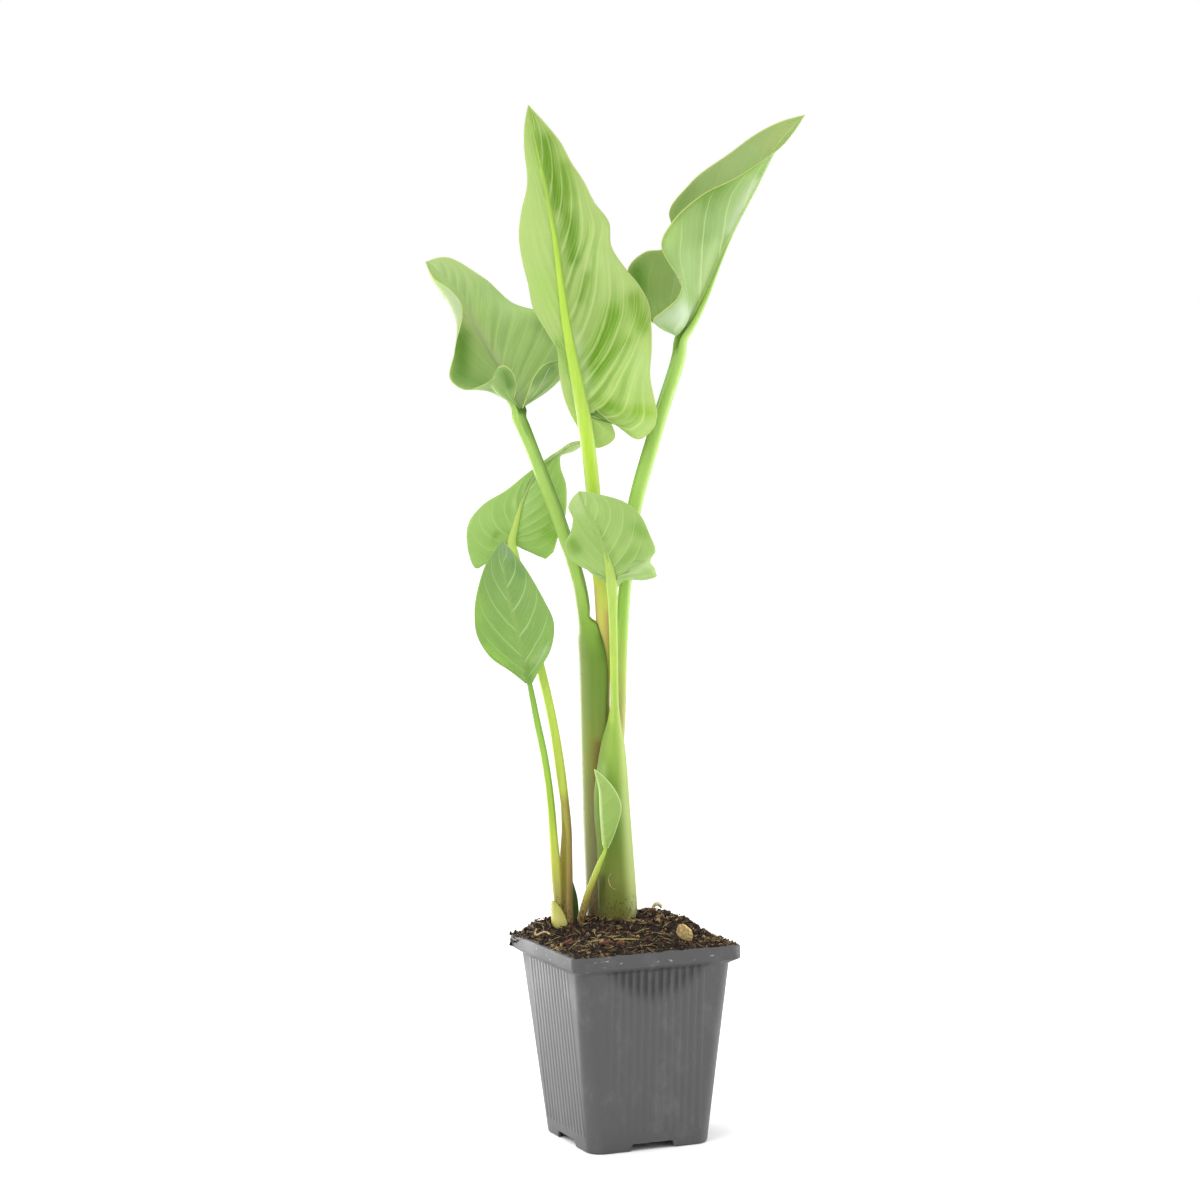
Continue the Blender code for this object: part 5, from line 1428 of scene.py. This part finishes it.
def make_ribs(look):
    """Fine upright ribs on the four walls; the outer ones run out where the corners turn."""
    given, out = new_tree("pot_ribs", "Count Int", "Pitch", "Head Vector", "Drop Vector", "Width",
                          "Depth", "Flat", "Turn")
    tree = out.id_data
    line = add("GeometryNodeCurvePrimitiveLine", {"Start": (0, 0, 0), "End": given["Drop"]})
    bar = add("GeometryNodeResampleCurve", {"Curve": line, "Count": 13})
    along = add("GeometryNodeSplineParameter", tree=tree)
    taper = step(along, 0.0, 0.06) * step(along, 0.82, 1.0, 1, 0)
    bar = add("GeometryNodeSetCurveRadius", {"Curve": bar, "Radius": taper + 0.02})
    oval = add("GeometryNodeCurvePrimitiveCircle", {"Resolution": 12, "Radius": 0.5}, tree=tree)
    size = add("ShaderNodeCombineXYZ", {"X": given["Width"], "Y": given["Depth"], "Z": 1.0})
    oval = add("GeometryNodeTransform", {"Geometry": oval, "Scale": size})
    solid = add("GeometryNodeCurveToMesh",
                {"Curve": bar, "Profile Curve": oval, "Fill Caps": True})
    middle = (given["Count"] - 1.0) / 2.0
    offset = add("ShaderNodeCombineXYZ", {"X": given["Pitch"]})
    start = add("ShaderNodeVectorMath", {0: offset, "Scale": middle * -1.0}, operation="SCALE")
    start = add("ShaderNodeVectorMath", {0: start, 1: given["Head"]}, operation="ADD")
    row = add("GeometryNodeMeshLine",
              {"Count": given["Count"], "Start Location": start, "Offset": offset})
    aside = abs(add("GeometryNodeInputIndex", tree=tree) - middle) * given["Pitch"]
    past = calc("MAXIMUM", aside - given["Flat"], 0.0)
    share = calc("SUBTRACT", 1.0, past / given["Turn"], clamp=True)
    size = add("ShaderNodeCombineXYZ", {"X": 1.0, "Y": share, "Z": share})
    face = add("GeometryNodeInstanceOnPoints", {"Points": row, "Instance": solid, "Scale": size})
    walls = add("GeometryNodeMeshLine", {"Count": 4, "Offset": (0, 0, 0)}, tree=tree)
    quarter = add("GeometryNodeInputIndex", tree=tree) * (math.pi / 2)
    turn = add("ShaderNodeCombineXYZ", {"Z": quarter})
    ribs = add("GeometryNodeInstanceOnPoints", {"Points": walls, "Instance": face,
                                                "Rotation": turn})
    end_tree(out, ribs, look)
    top = WALL_TOP - 0.3
    flat = wall_half(RIB_FOOT) - wall_corner(RIB_FOOT)
    ribs = grow("pot_ribs", bpy.data.meshes.new("seed"), tree, {
        "Count": RIBS, "Pitch": RIB_PITCH * MM,
        "Head": (0, -(wall_half(top) - RIB_SUNK) * MM, top * MM),
        "Drop": (0, (wall_half(top) - wall_half(RIB_FOOT)) * MM, (RIB_FOOT - top) * MM),
        "Width": RIB_WIDTH * MM, "Depth": 2 * (RIB_SUNK + RIB_PROUD) * MM, "Flat": flat * MM,
        "Turn": (wall_half(top) - wall_corner(top) - flat) * MM})
    ribs.data.shade_smooth()
    finish(ribs, "pot_plastic")


# ---------------------------------------------------------------- soil
SOIL_EDGE = 99.4
SOIL_LEVEL = 101.2
SOIL_RINGS = 60
SOIL_SIDE = 26
SETTLE_FROM = 0.82
HEAPS = (
    # x, y, height, spread
    (-5.0, 22.0, 7.0, 16.0),
    (-33.0, 12.0, 1.6, 11.0),
    (36.0, 20.0, 5.6, 15.0),
    (12.0, 44.0, 3.6, 11.0),
    (-45.0, 20.0, 4.2, 11.0),
    (4.0, -34.0, 1.2, 14.0),
)


def to_plant(x, y):
    """From the pot's frame to the plant's, both in millimetres."""
    c, s = math.cos(PLANT_TURN), math.sin(PLANT_TURN)
    return x * c + y * s, y * c - x * s


def soil_height(px, py):
    """Height of the soil at a point of the plant's frame; it falls away along the wall."""
    lift = sum(h * np.exp(-((px - x) ** 2 + (py - y) ** 2) / (2 * s * s))
               for x, y, h, s in HEAPS)
    c, s = math.cos(PLANT_TURN), math.sin(PLANT_TURN)
    x, y = px * c - py * s, px * s + py * c
    share = np.maximum(np.abs(x), np.abs(y)) / (wall_half(SOIL_EDGE) - WALL - GAP)
    settle = np.clip((share - SETTLE_FROM) / (1 - SETTLE_FROM), 0, 1)
    return SOIL_LEVEL + lift + (SOIL_EDGE - SOIL_LEVEL - lift) * settle**2


def rough(points, scale, height):
    """Uneven heights from noise at a scale in millimetres."""
    return height * np.array([noise.noise(Vector(p) / scale) for p in points])


def lumps_at(points):
    """Coarse and fine unevenness of the soil, from where the points are on the flat."""
    flat = points * (1, 1, 0)
    return rough(flat, 6.5, 1.5) + rough(flat, 2.6, 0.8)


def make_soil():
    """The bed of soil in the pot, uneven on top and flush along the wall."""
    look = soil_material()
    floor = FLOOR_TOP + GAP
    half, radius = wall_half(SOIL_EDGE) - WALL - GAP, wall_corner(SOIL_EDGE) - WALL
    outline = rounded_square(half, radius, 0, SOIL_SIDE)
    rings = []
    for share in np.linspace(0.01, 1, SOIL_RINGS):
        ring = outline * (share, share, 1)
        ring[:, 2] = soil_height(*to_plant(ring[:, 0], ring[:, 1]))
        ring[:, 2] += (1 - ease(0.9, 1.0, share)) * lumps_at(ring)
        rings.append(ring)
    half, radius = wall_half(floor) - WALL - GAP, wall_corner(floor) - WALL
    rings.append(rounded_square(half, radius, floor, SOIL_SIDE))
    points, faces = loft(rings)
    soil = put("soil_bed", points * MM, faces, look)
    finish(soil, "potting_soil", "potting_soil")
    scatter_soil(look)


def shape_collection(name, shapes):
    """A hidden collection of small meshes for a scatter to draw from."""
    group = bpy.data.collections.new(name)
    for k, mesh in enumerate(shapes):
        group.objects.link(bpy.data.objects.new(f"{name}_{k}", mesh))
    return group


def clear_collection(group):
    for shape in list(group.objects):
        bpy.data.objects.remove(shape)
    bpy.data.collections.remove(group)


def crumb(rng, corners):
    """An angular lump about a unit across: the hull of a few points on an uneven ball."""
    around = unit(rng.normal(size=(corners, 3))) * rng.uniform(0.55, 1.0, (corners, 1))
    around *= (1.0, rng.uniform(0.7, 1.0), rng.uniform(0.55, 0.85))
    lump = bmesh.new()
    for p in around:
        lump.verts.new(p * 0.5)
    hull = bmesh.ops.convex_hull(lump, input=lump.verts)
    loose = [v for v in hull["geom_interior"] + hull["geom_unused"]
             if isinstance(v, bmesh.types.BMVert) and v.is_valid]
    bmesh.ops.delete(lump, geom=list(set(loose)), context="VERTS")
    bmesh.ops.recalc_face_normals(lump, faces=lump.faces)
    mesh = bpy.data.meshes.new("crumb")
    lump.to_mesh(mesh)
    lump.free()
    return mesh


def fibre(rng, bends):
    """A bent three-sided hair about a unit long."""
    steps = np.linspace(-0.5, 0.5, bends)
    path = np.stack([steps, rng.normal(0, 0.1, bends).cumsum() * 0.8,
                     np.abs(rng.normal(0, 0.05, bends)).cumsum() * 0.5], axis=1)
    rings = []
    for k, p in enumerate(path):
        thin = 0.022 * (1 - 0.6 * abs(2 * k / (bends - 1) - 1))
        rings.append(p + thin * np.array([(0, 1, 0), (0, -0.5, 0.87), (0, -0.5, -0.87)]))
    points, faces = loft(rings)
    mesh = bpy.data.meshes.new("fibre")
    mesh.from_pydata(points.tolist(), [], [list(map(int, f)) for f in faces])
    turn_out(mesh)
    return mesh


def make_scatter_tree(look):
    """Strews shapes from a collection over a surface: random size, heading and shade."""
    given, out = new_tree("scatter", "Density", "Seed Int", "Smallest", "Largest", "Tilt", "Sink",
                          "Shapes Collection")
    seed, tilt = given["Seed"], given["Tilt"]
    spots = add("GeometryNodeDistributePointsOnFaces",
                {"Mesh": given["Geometry"], "Density": given["Density"], "Seed": seed})
    points = add("GeometryNodeStoreNamedAttribute",
                 {"Geometry": spots, "Name": "shade", "Value": random_number(0.0, 1.0, seed, 1)},
                 data_type="FLOAT", domain="POINT")
    chance = calc("POWER", random_number(0.0, 1.0, seed, 2), 2.4)
    size = add("ShaderNodeMapRange", {"Value": chance, "To Min": given["Smallest"],
                                      "To Max": given["Largest"]})
    back = tilt * -1.0
    turn = add("ShaderNodeCombineXYZ", {"X": random_number(back, tilt, seed, 3),
                                        "Y": random_number(back, tilt, seed, 4),
                                        "Z": random_number(-math.pi, math.pi, seed, 5)})
    drop = add("ShaderNodeCombineXYZ", {"Z": size * given["Sink"]})
    points = add("GeometryNodeSetPosition", {"Geometry": points, "Offset": drop})
    shapes = add("GeometryNodeCollectionInfo", {"Collection": given["Shapes"],
                                                "Separate Children": True,
                                                "Reset Children": True})
    strewn = add("GeometryNodeInstanceOnPoints",
                 {"Points": points, "Instance": shapes, "Pick Instance": True,
                  "Rotation": turn, "Scale": size})
    end_tree(out, strewn, look)
    return out.id_data


SCATTER_SEED = 7
SHAPES_OF_A_KIND = 7
CRUMB_CORNERS = 18
FIBRE_BENDS = 6
GROUND_STEPS = 91
SPILL_STEPS = 9, 25
SPILL_FROM = 18
SPILL_DROP = 7.0


def scatter_soil(look):
    """Crumbs, grains and fibres over the soil and over the flange that it spills onto."""
    rng = np.random.default_rng(SCATTER_SEED)
    lumps = shape_collection(
        "crumb_shapes", [crumb(rng, CRUMB_CORNERS) for _ in range(SHAPES_OF_A_KIND)])
    hairs = shape_collection(
        "fibre_shapes", [fibre(rng, FIBRE_BENDS) for _ in range(SHAPES_OF_A_KIND)])
    steps = np.linspace(-RIM_HALF + 0.4, RIM_HALF - 0.4, GROUND_STEPS)
    x, y = (g.ravel() for g in np.meshgrid(steps, steps, indexing="ij"))
    inside = np.maximum(np.abs(x), np.abs(y)) < wall_half(POT_HEIGHT) - WALL
    z = np.where(inside, soil_height(*to_plant(x, y)), POT_HEIGHT + 0.15)
    z += np.where(inside, lumps_at(np.stack([x, y, z], axis=1)), 0)
    corner = np.hypot(np.maximum(np.abs(x) - (RIM_HALF - CORNER_TOP), 0),
                      np.maximum(np.abs(y) - (RIM_HALF - CORNER_TOP), 0)) < CORNER_TOP - 0.4
    quads = grid_quads(np.arange(GROUND_STEPS**2).reshape(GROUND_STEPS, GROUND_STEPS))
    quads = np.roll(quads[:, ::-1], 1, axis=1)
    quads = quads[corner[quads].all(axis=1)]
    ground = bpy.data.meshes.new("ground")
    ground.from_pydata((np.stack([x, y, z], axis=1) * MM).tolist(), [], quads.tolist())
    straw = litter_material("fibre_tan", (196, 172, 120), (104, 78, 46), (3, 3))
    crumbs, fibres = make_scatter_tree(look), make_scatter_tree(straw)

    def strew(name, base, tree, shapes, density, seed, smallest, largest, tilt, sink):
        """Shapes on a base: how many to the square metre, sizes in millimetres."""
        finish(grow(name, base, tree, {
            "Density": density, "Seed": seed, "Smallest": smallest * MM, "Largest": largest * MM,
            "Tilt": tilt, "Sink": sink, "Shapes": shapes}), "potting_soil")

    strew("soil_crumbs", ground, crumbs, lumps, 3.4e5, 11, 0.9, 4.6, math.pi, 0.08)
    strew("soil_grains", ground, crumbs, lumps, 4.2e5, 23, 0.5, 1.4, math.pi, 0.9)
    strew("soil_fibres", ground, fibres, hairs, 9e4, 37, 2.5, 9.0, 0.5, 0.12)
    down = np.linspace(0, 1, SPILL_STEPS[0])
    side = np.linspace(SPILL_FROM, RIM_HALF - 2, SPILL_STEPS[1])
    z = POT_HEIGHT + 0.6 - down[:, None] * SPILL_DROP * ease(SPILL_FROM, RIM_HALF, side)
    spilt = np.stack(np.broadcast_arrays(-RIM_HALF - 0.2, side, z), axis=2).reshape(-1, 3)
    ground = bpy.data.meshes.new("spill")
    ground.from_pydata((spilt * MM).tolist(), [],
                       grid_quads(np.arange(z.size).reshape(z.shape)).tolist())
    strew("spilt_crumbs", ground, crumbs, lumps, 4e5, 5, 0.7, 3.2, math.pi, 0.0)
    clear_collection(lumps)
    clear_collection(hairs)


# ---------------------------------------------------------------- litter on the soil
CHIP_OUTLINE = [(-0.5, 0.1), (-0.42, 0.3), (-0.3, 0.42), (-0.1, 0.47), (0.05, 0.5), (0.22, 0.42),
                (0.35, 0.3), (0.46, 0.1), (0.5, -0.05), (0.38, -0.22), (0.2, -0.4), (0.0, -0.44),
                (-0.25, -0.45), (-0.42, -0.2)]
CHIP_LAYERS = [(0.02, 0.02), (0.5, 0.0), (0.86, 0.06), (0.98, 0.25), (1.0, 0.5), (0.95, 0.75),
               (0.82, 0.94), (0.5, 1.06), (0.02, 1.12)]
CHIP_POINTS = 56
CHIP_FURROWS = 23.0
STRAND_SIDES = 10
STRAND_STEPS = 14
STRAND_TAPER = 0.5
STRAND_KNOBS = 0.24


def make_chip(name, spot, size, turn, lift, look, slot, lean=None):
    """A flat splinter of bark or wood, its faces pitted and its rim worn: lying on the soil, or
    standing on it with its length and its width along the two directions of a lean."""
    x, y = spot
    long, wide, thick = size
    outline = np.array(CHIP_OUTLINE + CHIP_OUTLINE[:1])
    knots = np.arange(len(outline))
    outline = smooth(knots, outline, np.linspace(0, knots[-1], CHIP_POINTS + 1)[:-1])
    c, s = math.cos(math.radians(turn)), math.sin(math.radians(turn))
    rings, across, along = [], [], []
    for out, level in CHIP_LAYERS:
        a, b = outline[:, 0] * long * out * 0.98, outline[:, 1] * wide * out * 0.98
        if lean:
            length, width = (unit(np.array(way, float)) for way in lean)
            face = np.cross(length, width)
            ring = ((x, y, soil_height(np.array([x]), np.array([y]))[0] + lift)
                    + a[:, None] * length + b[:, None] * width + level * thick * face)
            furrow = 0.25 * np.sin(outline[:, 1] * out * CHIP_FURROWS) * (level > 0.8)
            ring += (rough(ring, 2.2, 0.3) + furrow)[:, None] * face
        else:
            px, py = x + a * c - b * s, y + a * s + b * c
            ring = np.stack([px, py, soil_height(px, py) + lift + level * thick], axis=1)
            worn = rough(ring, 2.2, 0.5) * (0.3 + 0.7 * (level > 0.2))
            ring[:, 2] += worn
            ring[:, :2] += (worn * 0.5)[:, None] * (outline * out)
        rings.append(ring)
        across += list(outline[:, 0] * out)
        along += list(outline[:, 1] * out)
    points, faces = loft(rings)
    piece = put(name + "_surface", to_row(points), faces, look)
    add_uv(piece, across, along)
    finish(piece, slot, name)


def make_strand(name, points, thickness, look, slot, *nodes):
    """A thin strand such as a root, straw or twig, thinner at its ends and a little knobbly."""
    at = np.linspace(0, 1, STRAND_STEPS * len(points))
    path = smooth(chord_knots(points), points, at)
    heading = unit(np.gradient(path, axis=0))
    side = unit(np.cross(heading, (0.1, 0.2, 1.0)))
    up = np.cross(side, heading)
    angles = np.linspace(0, 2 * math.pi, STRAND_SIDES, endpoint=False)
    ends = 1 - STRAND_TAPER * (2 * np.abs(at - 0.5)) ** 3
    size = thickness * ends * (1 + rough(path, 1.8 * thickness, STRAND_KNOBS))
    rings = [p + r * (np.cos(angles)[:, None] * s + np.sin(angles)[:, None] * u)
             for p, r, s, u in zip(path, size, side, up)]
    mesh, faces = loft(rings)
    piece = put(name + "_surface", to_row(mesh), faces, look)
    add_uv(piece, np.tile(angles / math.pi, len(rings)), np.repeat(at, len(angles)))
    finish(piece, slot, *nodes)


def on_soil(x, y, lift):
    """A point of the plant's frame at a lift above the soil."""
    return (x, y, float(soil_height(x, y)) + lift)


def make_litter():
    """Chips, bark, a twig, straw and dry roots on the soil."""
    wood = litter_material("wood_brown", (198, 176, 118), (112, 88, 52), (3, 16))
    bark = litter_material("bark_red", (112, 66, 44), (56, 34, 24), (4, 14))
    straw = litter_material("straw_tan", (178, 168, 96), (120, 104, 56), (8, 4), 0.55)
    root = litter_material("root_tan", (206, 186, 138), (124, 94, 58), (6, 14))
    husk = litter_material("husk_cream", (240, 234, 204), (156, 148, 96), (3, 5))
    lean = ((0.64, -0.35, -0.68), (0.66, -0.21, 0.72))
    make_chip("wood_chip", (30.3, -20), (10.5, 7.5, 2.4), 0, 4.2, wood, "wood_chip", lean)
    barks = ((-9, -32, (7, 3.5, 2), 20), (-2, -34, (5, 2.6, 1.5), -35),
             (-28, -24, (6, 3, 2), 40), (14, 33, (6, 3, 1.8), 10))
    for k, (x, y, size, turn) in enumerate(barks, 1):
        make_chip(f"bark_piece_{k}", (x, y), size, turn, 0.6, bark, "bark")
    for name, points, thickness, look, slot in (
            ("twig", [(15.2, 40, 0.7), (15.6, 40.2, 2.6), (17.2, 40.5, 4.1), (19, 40.8, 3.7),
                      (19.6, 41, 2.2)], 1.1, husk, "wood_chip"),
            ("straw", [(-18, -24, 1.2), (-10, -22, 1.2), (2, -22, 1.2), (10, -24, 1.2)], 0.5,
             straw, "straw"),
            ("curled_root", [(-44, 8, 1.5), (-44, 3, 1.5), (-40, 1, 1.4), (-37, -4, 1.4)], 0.6,
             root, "dry_root")):
        make_strand(name, [on_soil(*p) for p in points], thickness, look, slot, name)
    make_strand("stuck_fibre", [(-5.8, 10.7, 131.5), (-7.2, 11.3, 129.5), (-6.9, 11.2, 126),
                                (-5.6, 10.6, 124), (-3.6, 10.3, 123.2)], 0.22, root, "dry_root")


# ---------------------------------------------------------------- camera, light and floor
CAMERA_PLACE = (-9.5, -1600, 378)
CAMERA_DIP = math.radians(3.854)
CAMERA_ROLL = math.radians(0.872)
LENS = 96.67
SENSOR = 36
TURN = Matrix.Rotation(PLANT_TURN, 3, "Z")
FLOOR_HALF = 40.0
FLOOR_DROP = -0.0002
KEY_PLACE, KEY_TARGET = (-900, -900, 1500), (0, 0, 280)
KEY_SPREAD = math.radians(50)
KEY_POWER = 1.6
PANELS = (
    # name, place, target, width and height, power
    ("sheen", (-470, 420, 170), (-40, 0, 60), (420, 340), 4),
    ("side", (620, 120, 200), (30, 0, 60), (400, 500), 3),
)


def add_camera():
    """A long lens in front of the plant, tipped down and rolled a little."""
    dip_cos, dip_sin = math.cos(CAMERA_DIP), math.sin(CAMERA_DIP)
    ahead = Vector((0, dip_cos, -dip_sin))
    up = Vector((0, dip_sin, dip_cos))
    right = Vector((1, 0, 0))
    roll_cos, roll_sin = math.cos(CAMERA_ROLL), math.sin(CAMERA_ROLL)
    right, up = right * roll_cos - up * roll_sin, up * roll_cos + right * roll_sin
    lens = bpy.data.cameras.new("camera")
    lens.lens, lens.sensor_width = LENS, SENSOR
    camera = show("camera", lens)
    axes = Matrix([TURN @ right, TURN @ up, TURN @ -ahead]).transposed()
    camera.matrix_world = Matrix.Translation(TURN @ Vector(CAMERA_PLACE) * MM) @ axes.to_4x4()
    bpy.context.scene.camera = camera


def aim(lamp, start, target):
    """Places a lamp in plant millimetres and turns it to its target."""
    start, end = (TURN @ Vector(p) * MM for p in (start, target))
    holder = show(lamp.name, lamp)
    holder.rotation_euler = (end - start).to_track_quat("-Z", "Y").to_euler()
    holder.location = start
    return holder


def add_panel(name, start, target, size, power):
    """A lit rectangle that only shows in what it lights."""
    light = bpy.data.lights.new(name, "AREA")
    light.shape = "RECTANGLE"
    light.size, light.size_y = size[0] * MM, size[1] * MM
    light.energy = power
    aim(light, start, target).visible_camera = False


def add_floor():
    """A near white floor under the pot."""
    look, tree, shader = new_material("studio_floor", 0.9, 0.0)
    feed(shader, {"Base Color": blend(grain(place(tree), 3.0), (250, 250, 250), (246, 246, 246))})
    corners = [(x * FLOOR_HALF, y * FLOOR_HALF, FLOOR_DROP)
               for x, y in ((-1, -1), (1, -1), (1, 1), (-1, 1))]
    put("floor", corners, [(0, 1, 2, 3)], look, closed=False)


def add_light():
    """White surroundings, a broad key from the upper left and panels that the pot reflects."""
    world = bpy.data.worlds.new("studio")
    world.use_nodes = True
    feed(world.node_tree.nodes["Background"], {"Color": (1, 1, 1, 1), "Strength": 1.0})
    bpy.context.scene.world = world
    key = bpy.data.lights.new("key", "SUN")
    key.angle = KEY_SPREAD
    key.energy = KEY_POWER
    aim(key, KEY_PLACE, KEY_TARGET)
    for panel in PANELS:
        add_panel(*panel)
    bpy.context.scene.view_settings.view_transform = "Standard"


make_plant()
make_pot()
make_soil()
make_litter()
rhizome_looks = frame["nodes"]["rhizome"].data.materials
rhizome_looks.clear()
rhizome_looks.append(litter_material("rhizome_skin", (168, 142, 96), (112, 88, 56), (6, 6)))
add_camera()
add_light()
add_floor()
